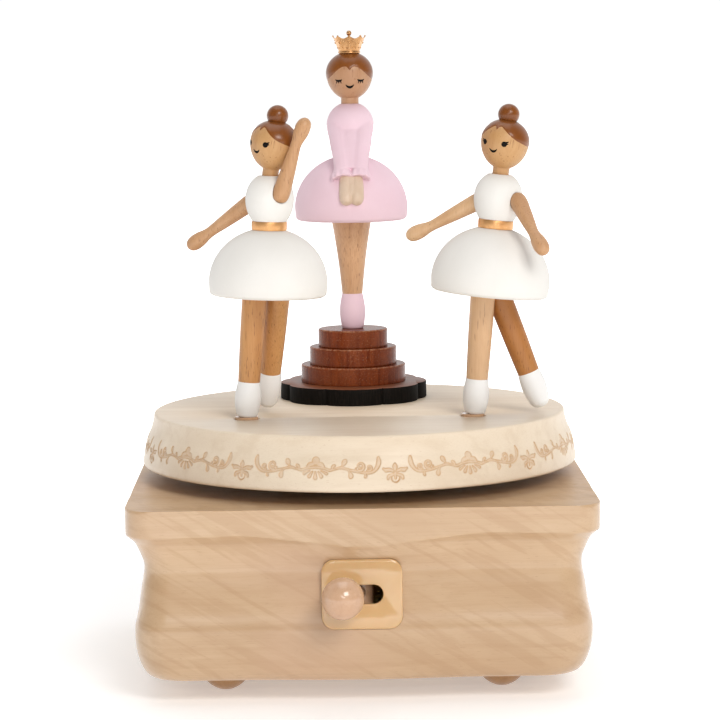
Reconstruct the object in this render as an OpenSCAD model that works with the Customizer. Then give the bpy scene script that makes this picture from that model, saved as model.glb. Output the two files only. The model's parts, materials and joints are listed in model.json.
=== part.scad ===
// Wooden music box: three turned ballerinas on a turntable that stands on a carved box.
// The frame's origin is the middle of the object's footprint on the floor, +Z up, front at -Y.

/* [Box] */
// Width and depth of the box at its top rim
box_w = 122; // [120:1:126]
// Height of the carved box body
box_h = 45.5; // [44:0.5:47]
// Height of the box's underside above the floor
foot_gap = 6; // [5.5:0.5:7]
// Radius of the box's upright corners
box_corner_r = 8; // [6:0.5:10]
// Depth of the hollow moulding under the top rim
cove_d = 4.35; // [3:0.05:5]
// Height of the flat rim above the moulding
rim_h = 4.8; // [4:0.1:5]
// How far the middle of each side swells out
wave_h = 2.65; // [0:0.05:3]

/* [Turntable] */
// Largest radius of the turntable
table_r = 59.5; // [58:0.5:60]
// Height of the turntable
table_h = 14.2; // [14:0.1:16]
// Gap between the box top and the turntable
table_gap = 3.8; // [3.6:0.1:5]

/* [Figures] */
// Distance of the two dancers' spindles from the turntable's centre
dancer_ring_r = 36; // [36:1:36]
// Angle of each dancer's spindle from the front
dancer_angle = 57.5; // [55:0.5:62]
// Radius of the dancers' skirts
skirt_r = 15.9; // [14:0.1:17]
// Radius of the princess's skirt
princess_skirt_r = 15.9; // [14:0.1:17]
// Distance of the pedestal behind the turntable's centre
pedestal_y = 24.5; // [23:0.5:26]
// Height of each of the pedestal's three steps
step_h = 5; // [4:0.1:5.5]

/* [Switch] */
// Width of the switch plate
plate_w = 20.8; // [18:0.1:24]
// Height of the switch plate
plate_h = 18; // [16:0.1:20]
// Radius of the switch's ball knob
knob_r = 5.4; // [4.5:0.1:6]
// Angle of the lever from the middle of its slot
lever_angle = 16; // [12:1:18]

/* [Gears] */
// Teeth of the fixed sun gear
sun_teeth = 48; // [48:1:48]
// Teeth of each dancer's planet gear
planet_teeth = 24; // [24:1:24]

/* [Hidden] */
$fn = 64;

// Colours
beech = [0.87, 0.74, 0.57];
maple = [0.90, 0.81, 0.67];
oak = [0.80, 0.59, 0.38];
walnut = [0.42, 0.22, 0.14];
charred = [0.08, 0.07, 0.06];
cream = [0.88, 0.75, 0.55];
chalk = [0.95, 0.94, 0.91];
pink = [0.92, 0.77, 0.84];
gold = [0.86, 0.65, 0.35];
hair = [0.45, 0.27, 0.13];
brass = [0.80, 0.66, 0.34];
steel = [0.68, 0.69, 0.71];
nylon = [0.90, 0.89, 0.85];

// Heights above the floor
box_top = foot_gap + box_h;
board_t = 4;
board_recess = 2.5;
board_z = foot_gap + board_recess;
bed_z = board_z + board_t;
bed_t = 2;
bed_top = bed_z + bed_t;
lid_t = 7;
ceiling_z = box_top - lid_t;
table_z = box_top + table_gap;
table_top = table_z + table_h;
table_skin = 5.5;
cavity_top = table_top - table_skin;

// Plan sizes
half_w = box_w / 2;
pocket_r = 46;
rabbet_half = 45;
foot_r = 6.8;
foot_xy = 36.5;
board_screw = [41, 28];

// The switch lies in a frame of its own, which leans back with the box's front
switch_x = -0.5;
switch_y = -60.4;
switch_z = 29.3;
switch_lean = 5;
plate_t = 2;
pivot_back = 8;
lever_reach = 18;
slot_half = 5.4;
slot_h = 4.9;

// The knob stands out of the front, so the turntable's axis lies behind the origin
knob_front = pivot_back - lever_reach * cos(lever_angle);
axis_y = (half_w - switch_y - knob_front * cos(switch_lean) + knob_r) / 2 - half_w;

module on_axis() translate([0, axis_y, 0]) children();
module in_switch() translate([switch_x, switch_y, switch_z]) rotate([-switch_lean, 0, 0]) children();

// ---------- helpers ----------

// Places children that are drawn along +Z so that they run from p towards q
module along(p, q) {
    d = q - p;
    translate(p) rotate([0, acos(d.z / norm(d)), atan2(d.y, d.x)]) children();
}

// A turned piece: its outline is a list of [radius, height] from bottom to top
module turned(outline) {
    last = len(outline) - 1;
    rotate_extrude() polygon(concat([[0, outline[0].y]], outline, [[0, outline[last].y]]));
}

// An egg's outline between two heights, widest at height z_wide
function egg(r, z_wide, down, up, low, high, n = 14) = [
    for (i = [0:n])
        let (z = low + (high - low) * i / n, h = z < z_wide ? down : up)
            [r * sqrt(max(0, 1 - pow((z - z_wide) / h, 2))), z]
];

// An egg's outline that closes at its top, spaced by angle
function egg_cap(r, z_wide, down, up, low, n = 16) =
    let (start = -asin((z_wide - low) / down)) [
        for (i = [0:n])
            let (a = start + (90 - start) * i / n)
                [max(r * cos(a), 0.02), z_wide + (a < 0 ? down : up) * sin(a)]
    ];

// A straight taper with a swelling in its middle
function barrel(r0, r1, swell, h, n = 10) = [
    for (i = [0:n]) [r0 + (r1 - r0) * i / n + swell * sin(180 * i / n), h * i / n]
];

// A rounded rectangle standing on Z = 0
module slab(w, d, h, r) {
    translate([-w / 2 + r, -d / 2, 0]) cube([w - 2 * r, d, h]);
    translate([-w / 2, -d / 2 + r, 0]) cube([w, d - 2 * r, h]);
    for (x = [-1, 1], y = [-1, 1]) translate([x * (w / 2 - r), y * (d / 2 - r), 0]) cylinder(r = r, h = h);
}

// Involute gear outline. thin is the share of the tooth width taken off for backlash
function involute(rb, r) = let (q = acos(min(1, rb / max(r, rb)))) tan(q) * 180 / PI - q;
function gear_outline(m, teeth, thin = 0.12, tip = 0.9, root = 1.2, steps = 3) =
    let (
        rp = m * teeth / 2,
        rb = rp * cos(20),
        r_root = rp - root * m,
        r_tip = rp + tip * m,
        r_in = max(rb, r_root),
        half = 90 / teeth * (1 - thin) + involute(rb, rp),
        radii = concat([r_root], [for (k = [0:steps]) r_in + (r_tip - r_in) * (k + 0.02) / (steps + 0.02)]),
        top = len(radii) - 1
    ) [
        for (i = [0:teeth - 1], k = [0:2 * top + 1])
            let (
                rising = k <= top,
                r = radii[rising ? k : 2 * top + 1 - k],
                a = half - involute(rb, r)
            ) r * [cos(360 * i / teeth + (rising ? -a : a)), sin(360 * i / teeth + (rising ? -a : a))]
    ];
module gear(m, teeth, h, thin = 0.12) linear_extrude(height = h) polygon(gear_outline(m, teeth, thin));

// A wood screw with a flat head, its head's top at Z = 0 and its shank pointing down
module screw(head_r, shank_r, length) {
    difference() {
        translate([0, 0, -head_r * 0.6]) cylinder(r = head_r, h = head_r * 0.6);
        translate([-head_r, -0.25, -0.5]) cube([2 * head_r, 0.5, 1]);
    }
    translate([0, 0, -length]) cylinder(r = shank_r, h = length - head_r * 0.6);
}

// ---------- the box ----------

// How far the side stands in from the rim's face, at depth u below the top
cove_end = 16.8;
belly = 34;
belly_in = 1.93;
under_in = 5.9;
function inset(u) =
    u < 0.01 ? 0.6 :
    u < rim_h ? 0 :
    u < cove_end ? cove_d * sin(90 * (u - rim_h) / (cove_end - rim_h)) :
    u < belly ? cove_d - (cove_d - belly_in) * (1 - cos(180 * (u - cove_end) / (belly - cove_end))) / 2 :
    belly_in + under_in * (1 - sqrt(max(0, 1 - pow((u - belly) / (box_h - belly), 2))));

// The swelling in the middle of each side, and its share that is left at depth u
wave_half = 30;
function wave(s) = abs(s) < wave_half ? wave_h * pow(cos(90 * s / wave_half), 2) : 0;
function fade(u) = max(0.6, min(1, 1 - 0.08 * (u - 10)));

// One closed ring of the outside at depth u below the top
side_n = 12;
corner_n = 4;
function ring(u) =
    let (hw = half_w - inset(u), flat = hw - box_corner_r) [
        for (k = [0:3], i = [0:side_n + corner_n - 1])
            let (
                s = flat * (2 * i / side_n - 1),
                a = 90 * (i - side_n) / corner_n,
                p = i <= side_n ?
                    [hw + min(wave(s) * fade(u), inset(u)), s] :
                    [flat + box_corner_r * cos(a), flat + box_corner_r * sin(a)]
            ) [p.x * cos(90 * k) - p.y * sin(90 * k), p.x * sin(90 * k) + p.y * cos(90 * k), box_top - u]
    ];

module carved_block() {
    depths = [
        box_h, box_h - 0.5, box_h - 1.6, box_h - 3.5, 39, 36.5, belly, 31, 28, 24.5,
        21, cove_end, 14, 11.5, 9.5, 8, 6.4, rim_h, 0.8, 0
    ];
    n = 4 * (side_n + corner_n);
    rings = len(depths);
    points = concat([for (u = depths) each ring(u)], [[0, 0, foot_gap], [0, 0, box_top]]);
    sides = [
        for (j = [0:rings - 2], i = [0:n - 1])
            let (a = j * n + i, b = j * n + (i + 1) % n)
                each [[a, b + n, b], [a, a + n, b + n]]
    ];
    caps = [
        for (i = [0:n - 1])
            let (j = (i + 1) % n) each [[n * rings, i, j], [n * rings + 1, n * (rings - 1) + j, n * (rings - 1) + i]]
    ];
    polyhedron(points = points, faces = concat(sides, caps));
}

bush_r = 5;
module box_body() color(beech) difference() {
    carved_block();
    translate([-rabbet_half, -rabbet_half, foot_gap - 1]) cube([2 * rabbet_half, 2 * rabbet_half, bed_z - foot_gap + 1]);
    translate([0, 0, bed_z - 1]) cylinder(r = pocket_r, h = ceiling_z - bed_z + 1);
    translate([0, 0, ceiling_z - 1]) cylinder(r = bush_r, h = lid_t + 2);
    in_switch() {
        translate([-plate_w / 2 - 0.05, 0, -plate_h / 2 - 0.05]) cube([plate_w + 0.1, plate_t, plate_h + 0.1]);
        translate([0, -8, 0]) rotate([-90, 0, 0]) slab(plate_w + 0.1, plate_h + 0.1, 8.5, 3);
        translate([-8.1, 0, -6.6]) cube([16.2, 18, 13.2]);
    }
    for (x = [-1, 1], y = [-1, 1])
        translate([x * board_screw.x, y * board_screw.y, bed_z - 1]) cylinder(r = 1.2, h = 12);
    for (a = [30, 150, 270]) rotate(a) translate([18, 0, box_top - 6]) cylinder(r = 1, h = 7);
}

module base_board() color(beech) difference() {
    translate([-rabbet_half + 0.2, -rabbet_half + 0.2, board_z]) cube([2 * rabbet_half - 0.4, 2 * rabbet_half - 0.4, board_t]);
    translate([0, 0, board_z - 1]) cylinder(r = 4, h = board_t + 2);
    for (x = [-1, 1], y = [-1, 1]) translate([x * board_screw.x, y * board_screw.y, board_z - 1]) {
        cylinder(r = 1.2, h = board_t + 2);
        cylinder(r = 2.8, h = 2.68);
    }
    for (p = bed_screws) translate([p.x, p.y, board_z + 1]) cylinder(r = 0.9, h = board_t);
}

module base_screws() color(steel)
    for (x = [-1, 1], y = [-1, 1])
        translate([x * board_screw.x, y * board_screw.y, board_z]) mirror([0, 0, 1]) screw(2.8, 1.2, 14);

module ball_feet() color(beech)
    for (x = [-1, 1], y = [-1, 1]) translate([x * foot_xy, y * foot_xy, 0]) intersection() {
        translate([0, 0, foot_r - 0.2]) sphere(r = foot_r);
        translate([-10, -10, 0]) cube([20, 20, board_z]);
    }

// ---------- the switch ----------

pivot_r = 0.8;
hub_r = 3;
hub_half = 4.6;
module switch_plate() color(cream) in_switch() difference() {
    union() {
        rotate([-90, 0, 0]) slab(plate_w, plate_h, plate_t, 3);
        difference() {
            translate([-8, 1, -6.5]) cube([16, 11.5, 13]);
            translate([-6.6, plate_t, -5]) cube([13.2, 12, 10]);
        }
    }
    translate([-slot_half + slot_h / 2, -1, 0]) rotate([-90, 0, 0]) cylinder(r = slot_h / 2, h = 4);
    translate([slot_half - slot_h / 2, -1, 0]) rotate([-90, 0, 0]) cylinder(r = slot_h / 2, h = 4);
    translate([-slot_half + slot_h / 2, -1, -slot_h / 2]) cube([2 * slot_half - slot_h, 4, slot_h]);
    translate([0, pivot_back, -7]) cylinder(r = pivot_r + 0.05, h = 14);
}

module in_lever() in_switch() translate([0, pivot_back, 0]) rotate(-lever_angle) children();

stem_r = 1.8;
module switch_lever() color(beech) in_lever() difference() {
    union() {
        translate([0, 0, -hub_half]) cylinder(r = hub_r, h = 2 * hub_half);
        translate([0, 0, -6]) cylinder(r = pivot_r, h = 12);
        rotate([90, 0, 0]) cylinder(r = stem_r, h = lever_reach - knob_r + 1.5);
    }
    wire_shape();
}

module switch_knob() color(beech) in_lever() difference() {
    translate([0, -lever_reach, 0]) sphere(r = knob_r);
    rotate([90, 0, 0]) cylinder(r = stem_r, h = lever_reach - knob_r + 1.5);
}

wire_r = 0.4;
wire_z = 3.6;
wire_angle = 24.6;
wire_l = 18.3;
module wire_shape() translate([0, 0, wire_z]) rotate([-90, 0, -wire_angle]) cylinder(r = wire_r, h = wire_l);
module brake_wire() color(steel) in_lever() wire_shape();

// ---------- drive through the lid ----------

shaft_r = 2.5;
module shaft_bush() color(brass) difference() {
    union() {
        translate([0, 0, ceiling_z]) cylinder(r = bush_r, h = lid_t);
        translate([0, 0, box_top]) cylinder(r = 7.5, h = 1);
    }
    translate([0, 0, ceiling_z - 1]) cylinder(r = shaft_r + 0.05, h = lid_t + 3);
}

gear_m = 1;
gear_z = box_top + 5.6;
gear_h = 4.4;
sun_turn = 0;
module sun_gear() color(nylon) difference() {
    union() {
        translate([0, 0, box_top]) cylinder(r = 21, h = 1.5);
        translate([0, 0, box_top]) cylinder(r = 15, h = gear_z - box_top + 1);
        translate([0, 0, gear_z]) rotate(sun_turn) gear(gear_m, sun_teeth, gear_h);
    }
    translate([0, 0, box_top - 1]) cylinder(r = 9, h = 20);
    for (a = [30, 150, 270]) rotate(a) translate([18, 0, box_top - 1]) cylinder(r = 1, h = 4);
}

module sun_gear_screws() color(steel)
    for (a = [30, 150, 270]) rotate(a) translate([18, 0, box_top + 1.5 + 1.08]) screw(1.8, 1, 8.4);

// ---------- the movement ----------

arbor_r = 2;
crown_r = 11.6;
crown_teeth = 44;
pitch_z = bed_top + 3.9;
spur_teeth = 22;
spur_m = 2 * crown_r / crown_teeth;
drum_axis_z = pitch_z + spur_m * spur_teeth / 2;
drum_shaft_r = 1;
end_m = 0.4;
end_teeth = 30;
pinion_teeth = 10;
worm_teeth = 20;
train_x = end_m * (end_teeth + pinion_teeth) / 2;
worm_r = 1.1;
worm_x = train_x + end_m * worm_teeth / 2 + 0.9 * end_m + 0.3 + worm_r;
worm_y = -36.75;
drum_y = [-14.6, -30.6];
comb_x = -7.2;
bed_screws = [[-24, 8], [14, 10], [-21, -33.5]];

module bedplate() color(steel) difference() {
    union() {
        translate([0, 0, bed_z]) linear_extrude(height = bed_t)
            polygon([[-29, 14], [17.5, 14], [17.5, -39.5], [-10, -39.5], [-29, -30]]);
        translate([-29, -31, bed_top - 0.5]) cube([9.5, 17.5, drum_axis_z - 0.45 - bed_top + 0.5]);
    }
    translate([0, 0, bed_z - 1]) cylinder(r = arbor_r + 0.05, h = bed_t + 2);
    for (p = bed_screws) translate([p.x, p.y, bed_z - 1]) cylinder(r = 0.9, h = 4);
    for (y = [-18, -27]) translate([-24.5, y, drum_axis_z - 6]) cylinder(r = 0.8, h = 8);
}

module bedplate_screws() color(steel)
    for (p = bed_screws) translate([p.x, p.y, bed_top + 1.08]) screw(1.8, 0.9, 6);

// Eighteen tuned teeth beside the pinned drum
comb_teeth = 18;
module comb() color(steel) {
    pitch = (drum_y[0] - drum_y[1]) / comb_teeth;
    translate([0, 0, drum_axis_z - 0.45]) {
        difference() {
            translate([-29, -31, 0]) cube([9.5, 17.5, 0.9]);
            for (y = [-18, -27]) translate([-24.5, y, -1]) cylinder(r = 0.8, h = 3);
        }
        for (i = [0:comb_teeth - 1])
            translate([-20, drum_y[1] + pitch * (i + 0.14), 0]) cube([20 + comb_x, pitch * 0.72, 0.9]);
    }
}

module comb_screws() color(steel)
    for (y = [-18, -27]) translate([-24.5, y, drum_axis_z + 0.45 + 1.2]) screw(2, 0.8, 6);

module cylinder_bracket() color(brass) difference() {
    union() {
        translate([-4, -13.9, bed_top]) cube([8, 1, drum_axis_z - bed_top + 2.5]);
        translate([-9, -16.9, bed_top]) cube([18, 4, 0.8]);
    }
    translate([0, -20, drum_axis_z]) rotate([-90, 0, 0]) cylinder(r = drum_shaft_r + 0.05, h = 10);
}

module governor_frame() color(brass) difference() {
    union() {
        translate([-4, -35, bed_top]) cube([20.5, 1.2, drum_axis_z - bed_top + 5.4]);
        translate([worm_x - 2.5, -39, bed_top]) cube([5, 4.5, 1.2]);
        translate([worm_x - 2.5, -39, drum_axis_z + 4.2]) cube([5, 4.5, 1.2]);
    }
    translate([0, -40, drum_axis_z]) rotate([-90, 0, 0]) cylinder(r = drum_shaft_r + 0.05, h = 10);
    translate([train_x, -40, drum_axis_z]) rotate([-90, 0, 0]) cylinder(r = 0.85, h = 10);
    translate([worm_x, worm_y, bed_top - 1]) cylinder(r = 0.65, h = 20);
}

// Pinned drum: every track carries a few pins at angles of its own
drum_r = 6.2;
track_pins = 3;
module music_cylinder() color(brass) translate([0, 0, drum_axis_z]) rotate([90, 0, 0]) difference() {
    union() {
        translate([0, 0, -drum_y[0]]) cylinder(r = drum_r, h = drum_y[0] - drum_y[1]);
        for (t = [0:comb_teeth - 1], k = [0:track_pins - 1])
            rotate(t * 83 + k * 360 / track_pins + t * t * 7)
                translate([drum_r - 0.4, 0, -drum_y[0] + (t + 0.5) * (drum_y[0] - drum_y[1]) / comb_teeth])
                    rotate([0, 90, 0]) cylinder(r = 0.2, h = 0.9);
    }
    cylinder(r = drum_shaft_r, h = 50);
}

module cylinder_arbor() color(brass) translate([0, 0, drum_axis_z]) rotate([90, 0, 0]) {
    translate([0, 0, 10.2]) cylinder(r = drum_shaft_r, h = 25);
    translate([0, 0, 10.7]) rotate(-90) rotate(180 / spur_teeth) gear(spur_m, spur_teeth, 1.8, 0.3);
    translate([0, 0, 31.6]) gear(end_m, end_teeth, 1.4, 0.3);
}

module worm_wheel() color(brass) translate([train_x, 0, drum_axis_z]) rotate([90, 0, 0]) {
    translate([0, 0, 31]) cylinder(r = 0.8, h = 7.2);
    translate([0, 0, 31.6]) rotate(180) rotate(180 / pinion_teeth) gear(end_m, pinion_teeth, 1.4, 0.3);
    translate([0, 0, 36]) gear(end_m, worm_teeth, 1.5, 0.3);
}

fan_z = drum_axis_z + 10;
fan_half = 5.2;
module airbrake() color(steel) translate([worm_x, worm_y, 0]) {
    translate([0, 0, bed_top + 0.3]) cylinder(r = 0.6, h = fan_z + 3.7 - bed_top);
    translate([0, 0, drum_axis_z - 3.8]) cylinder(r = worm_r, h = 7.6);
    translate([0, 0, drum_axis_z + 6.4]) cylinder(r = 2, h = 2.4);
    translate([-fan_half, -0.3, fan_z - 0.5]) cube([2 * fan_half, 0.6, 4.5]);
}

barrel_r = 9.5;
barrel_z = bed_top + 1.5;
barrel_top = barrel_z + 15;
module spring_barrel() color(brass) {
    difference() {
        union() {
            translate([0, 0, barrel_z]) cylinder(r = crown_r + 1, h = pitch_z - 0.8 - barrel_z);
            translate([0, 0, barrel_z]) cylinder(r = barrel_r, h = barrel_top - barrel_z);
        }
        translate([0, 0, barrel_z + 1]) cylinder(r = barrel_r - 0.8, h = barrel_top - barrel_z - 2);
        translate([0, 0, barrel_z - 1]) cylinder(r = arbor_r + 0.05, h = 4);
        translate([0, 0, barrel_top - 2]) cylinder(r = shaft_r, h = 4);
    }
    for (i = [0:crown_teeth - 1]) rotate(270 + 360 * i / crown_teeth)
        translate([crown_r - 1.2, -0.2, pitch_z - 1]) cube([2.2, 0.4, 1.35]);
}

module drive_shaft() color(steel)
    translate([0, 0, barrel_top - 1]) cylinder(r = shaft_r, h = table_top - 2.5 - barrel_top + 1);

// A flat spiral that fills the barrel
spring_turns = 7;
spring_steps = 16 * spring_turns;
function spiral(i, grow) = (2.5 + 5.8 * i / spring_steps + grow) * [cos(22.5 * i), sin(22.5 * i)];
module mainspring() color(steel) translate([0, 0, barrel_z + 1.4]) linear_extrude(height = 12.2)
    polygon(concat([for (i = [0:spring_steps]) spiral(i, 0)], [for (i = [spring_steps:-1:0]) spiral(i, 0.3)]));

ratchet_r = 5;
ratchet_teeth = 16;
module winding_arbor() color(steel) {
    translate([0, 0, 6]) cylinder(r = arbor_r, h = barrel_top - 1.6 - 6);
    translate([0, 0, bed_top + 0.2]) linear_extrude(height = 0.9) polygon([
        for (i = [0:ratchet_teeth - 1])
            let (a = 360 * i / ratchet_teeth)
                each [ratchet_r * [cos(a), sin(a)], (ratchet_r - 0.8) * [cos(a + 2), sin(a + 2)]]
    ]);
}

module ratchet_click() color(steel) translate([0, 0, bed_top]) {
    translate([9.5, 3.5, 0]) cylinder(r = 1.2, h = 1.1);
    translate([9.5, 3.5, 0.3]) rotate(205) translate([0, -0.3, 0]) cube([4.4, 0.6, 0.7]);
}

// Low butterfly key under the base board
key_top = board_z - 0.3;
module winding_key() color(brass) difference() {
    union() {
        translate([0, 0, 3]) cylinder(r = 3.2, h = key_top - 3);
        for (x = [-1, 1]) translate([x * 8.6, 0.8, 4.7]) rotate([90, 0, 0]) cylinder(r = 3.1, h = 1.6);
        translate([-8.6, -0.8, 2.6]) cube([17.2, 1.6, 4.4]);
    }
    translate([0, 0, 6]) cylinder(r = arbor_r, h = 10);
    for (x = [-1, 1]) translate([x * 8.6, 2, 4.7]) rotate([90, 0, 0]) cylinder(r = 1.3, h = 4);
}

// ---------- the turntable ----------

cavity_r = 50;
neck_r = table_r - 3;
spindle_r = 3.1;
spindle_hole = 3.5;
hub_screw_r = 10;
princess_x = -1.2;
pedestal = [princess_x, pedestal_y];

// The rim flares out below its top edge, then drops straight
function rim(t) = [neck_r - 0.3 + (table_r - neck_r + 0.3) * (1 - cos(180 * t)) / 2, table_top - 1.6 - 7 * t];
rim_outline = concat(
    [[cavity_r, table_z], [table_r - 1, table_z]],
    [for (a = [-60:30:0]) [table_r - 1 + cos(a), table_z + 1 + sin(a)]],
    [for (i = [10:-1:0]) rim(i / 10)],
    [[neck_r, table_top - 0.9]],
    [for (a = [0:30:90]) [neck_r - 0.8 + 0.8 * cos(a), table_top - 0.8 + 0.8 * sin(a)]]
);
function dancer_at(side) = dancer_ring_r * [side * sin(dancer_angle), -cos(dancer_angle)];

module turntable() color(maple) difference() {
    rotate_extrude() polygon(concat([[0, cavity_top], [cavity_r, cavity_top]], rim_outline, [[0, table_top]]));
    translate([0, 0, cavity_top - 1]) cylinder(r = shaft_r, h = table_skin - 1.5);
    for (side = [-1, 1]) translate([dancer_at(side).x, dancer_at(side).y, cavity_top - 1])
        cylinder(r = spindle_hole, h = table_skin + 2);
    for (a = [90, 210, 330]) rotate(a) translate([hub_screw_r, 0, cavity_top - 1]) cylinder(r = 0.9, h = 4);
    translate([pedestal.x, pedestal.y, cavity_top - 1]) cylinder(r = 1.4, h = 10);
    translate([pedestal.x, pedestal.y, cavity_top - 1]) cylinder(r = 3, h = 2.8);
}

under_t = 1.2;
module turntable_underplate() color(nylon) difference() {
    translate([0, 0, table_z]) cylinder(r = cavity_r, h = under_t);
    translate([0, 0, table_z - 1]) cylinder(r = 26.6, h = 4);
    for (side = [-1, 1]) translate([dancer_at(side).x, dancer_at(side).y, table_z - 1]) cylinder(r = 1.55, h = 4);
}

module turntable_hub() color(nylon) difference() {
    union() {
        translate([0, 0, cavity_top - 2]) cylinder(r = 14, h = 2);
        translate([0, 0, box_top + 3]) cylinder(r = 6, h = cavity_top - box_top - 4);
    }
    translate([0, 0, box_top]) cylinder(r = shaft_r, h = 20);
    for (a = [90, 210, 330]) rotate(a) translate([hub_screw_r, 0, cavity_top - 3]) {
        cylinder(r = 0.9, h = 6);
        cylinder(r = 1.7, h = 2.02);
    }
}

module turntable_screws() color(steel) {
    for (a = [90, 210, 330]) rotate(a) translate([hub_screw_r, 0, cavity_top - 2]) mirror([0, 0, 1]) screw(1.7, 0.9, 5);
    translate([pedestal.x, pedestal.y, cavity_top]) mirror([0, 0, 1]) screw(3, 1.4, 15);
}

// ---------- pedestal and princess ----------

base_t = 4.7;
tiers_z = table_top + base_t;
stage_z = tiers_z + 3 * step_h;

// A scalloped plaque: its radius rises and falls eight times round
function scallop(a) = 19.8 + 1.5 * pow(abs(cos(4 * a)), 0.6) - 0.6 * cos(2 * a);
module pedestal_base() color(charred) difference() {
    translate([pedestal.x, pedestal.y, table_top]) linear_extrude(height = base_t)
        polygon([for (a = [0:5:355]) scallop(a) * [cos(a), sin(a)]]);
    translate([pedestal.x, pedestal.y, table_top - 1]) cylinder(r = 1.4, h = 20);
}

tier_radii = [14.8, 12.3, 9.8];
module pedestal_tiers() color(walnut) difference() {
    for (i = [0:2]) translate([pedestal.x, pedestal.y, tiers_z + i * step_h])
        turned([[tier_radii[i], 0], [tier_radii[i], step_h - 0.4], [tier_radii[i] - 0.4, step_h]]);
    translate([pedestal.x, pedestal.y, table_top - 1]) cylinder(r = 1.4, h = base_t + 1 + 8.5);
}

module on_stage() translate([pedestal.x, pedestal.y, stage_z]) children();
p_shoe_h = 9.9;
p_skirt_z = 30.7;
skirt_h = 17.6;

// A half dome with a rounded hem, standing on Z = 0
function dome(r, top_r) =
    let (end = acos(top_r / r), b = (skirt_h - 3.5) / sin(end))
        concat([[r - 1.7, 0]], [for (a = [-60:30:-30]) [r - 1.7 + 1.6 * cos(a), 1.6 + 1.6 * sin(a)]],
            [for (i = [0:12]) [r * cos(end * i / 12), 3.5 + b * sin(end * i / 12)]]);

module princess_shoe() color(pink) on_stage() turned(barrel(3.05, 2.88, 0.65, p_shoe_h));
module princess_leg() color(oak) on_stage() translate([0, 0, p_shoe_h])
    turned(barrel(2.88, 5.6, -0.25, p_skirt_z - p_shoe_h));
module princess_skirt() color(pink) on_stage() translate([0, 0, p_skirt_z]) turned(dome(princess_skirt_r, 4.9));

waist_z = p_skirt_z + skirt_h;
module bodice_shape() {
    translate([0, 0, waist_z]) turned(concat(
        [[4.9, 0], [4.95, 1.5], [5.4, 4]], egg(6.6, 9.2, 9, 7.2, 6, 15.1, 10)));
    for (x = [-1, 1]) along([x * 4.1, -1.6, waist_z + 9.8], [x * 2.1, -11.6, waist_z - 3.6])
        turned([[2, -2], [2.55, 0], [2.65, 4], [2.45, 9], [2.6, 12], [3.1, 14], [3.35, 15.6], [3.2, 16.4], [2.4, 16.6]]);
}
module princess_bodice() color(pink) on_stage() difference() {
    bodice_shape();
    translate([0, 0, p_skirt_z]) turned(dome(princess_skirt_r, 4.9));
}
module princess_hands() color(oak) on_stage() difference() {
    for (x = [-1, 1]) along([x * 1.9, -11.7, waist_z - 3.75], [x * 1.6, -16.8, waist_z - 12.2])
        turned(egg_cap(1.8, 7.3, 11, 2.7, 0));
    translate([0, 0, p_skirt_z]) turned(dome(princess_skirt_r, 4.9));
}

// Neck and head in one turned piece, standing on Z = 0
neck_h = 1.9;
dancer_neck_h = 2.5;
module head_shape(neck_r, head_r, neck_h) turned(concat([[neck_r, 0], [neck_r, neck_h]],
    [for (p = egg_cap(head_r, 7.3, 7.5, 5.8, 0.6)) [p.x, p.y + neck_h - 0.6]]));
module princess_head() color(oak) on_stage() translate([0, 0, waist_z + 15.1]) difference() {
    head_shape(2.45, 6.5, neck_h);
    translate([0, 0, neck_h + 12.1]) cylinder(r = 4, h = 2);
}

// A flared crown of eight points, with a ball in its middle
crown_h = 5;
module princess_crown() color(gold) on_stage() translate([0, 0, waist_z + 15.1 + neck_h + 12.1]) {
    difference() {
        turned([[3.05, 0], [3.15, 0.5], [3, 1], [3.45, 2.6], [4.75, crown_h]]);
        translate([0, 0, 1.2]) turned([[2.4, 0], [2.9, 1.6], [4.3, 3.7], [4.5, 4.4]]);
        for (a = [0:45:359]) rotate(a + 22.5) translate([4.4, 0, crown_h + 0.3]) rotate([0, 90, 0])
            cylinder(r = 1.35, h = 3, center = true);
    }
    translate([0, 0, 1]) cylinder(r = 0.5, h = 4.1);
    translate([0, 0, 5.7]) sphere(r = 0.8);
}

// ---------- the two dancers ----------
// Each dancer is laid out from the middle of the spindle, at the turntable's top face.
// side is -1 for the left dancer and 1 for the right one.

function pick(side, l, r) = side < 0 ? l : r;
module dancer(side) translate([dancer_at(side).x, dancer_at(side).y, table_top]) children();

spindle_up = 0.6;
function shoe_foot(side) = [pick(side, 0, 0.5), 0, spindle_up];
function leg_top(side) = pick(side, [2.9, -0.6, 36], [3.1, -1.2, 36]);
function toe(side) = pick(side, [5.2, 12.2, 2.4], [18.6, 3.6, 2.4]);
function free_leg_top(side) = pick(side, [9.3, 2.4, 37.6], [5.4, 2.1, 37]);
function hip(side) = pick(side, [6.2, 0.8, 32.9], [4.6, 0.7, 32.6]);
function lean(side) = pick(side, 2, 5.9);
function head_lean(side) = pick(side, 8, 8.4);
function face_turn(side) = pick(side, -47, -32);
function arm_points(side) = pick(side,
    [[[9.9, -4.5, 59.2], [14.4, -5.8, 73.4], [17.6, -6.2, 80.8]],
     [[3.4, 4.2, 58.8], [-9.6, 10.2, 49.4], [-15.8, 12.6, 45.1]]],
    [[[12, -3.4, 58.2], [15.6, -13.9, 49.6], [17.7, -17.8, 45.6]],
     [[3.4, 3, 58], [-10.4, 7, 50.6], [-17.6, 8.6, 47.3]]]);
module upper(side, z = 0) translate(hip(side)) rotate([0, lean(side), 0]) translate([0, 0, z]) children();

module spindle(side) color(oak) dancer(side) {
    translate([0, 0, table_z - table_top]) cylinder(r = 1.5, h = 3);
    translate([0, 0, gear_z - table_top]) cylinder(r = 2, h = 5);
    translate([0, 0, gear_z - table_top + gear_h]) cylinder(r = 3.1, h = table_top - gear_z - gear_h + spindle_up);
    translate([0, 0, gear_z - table_top + gear_h + 0.2]) cylinder(r = 4.6, h = 2);
}

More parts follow.
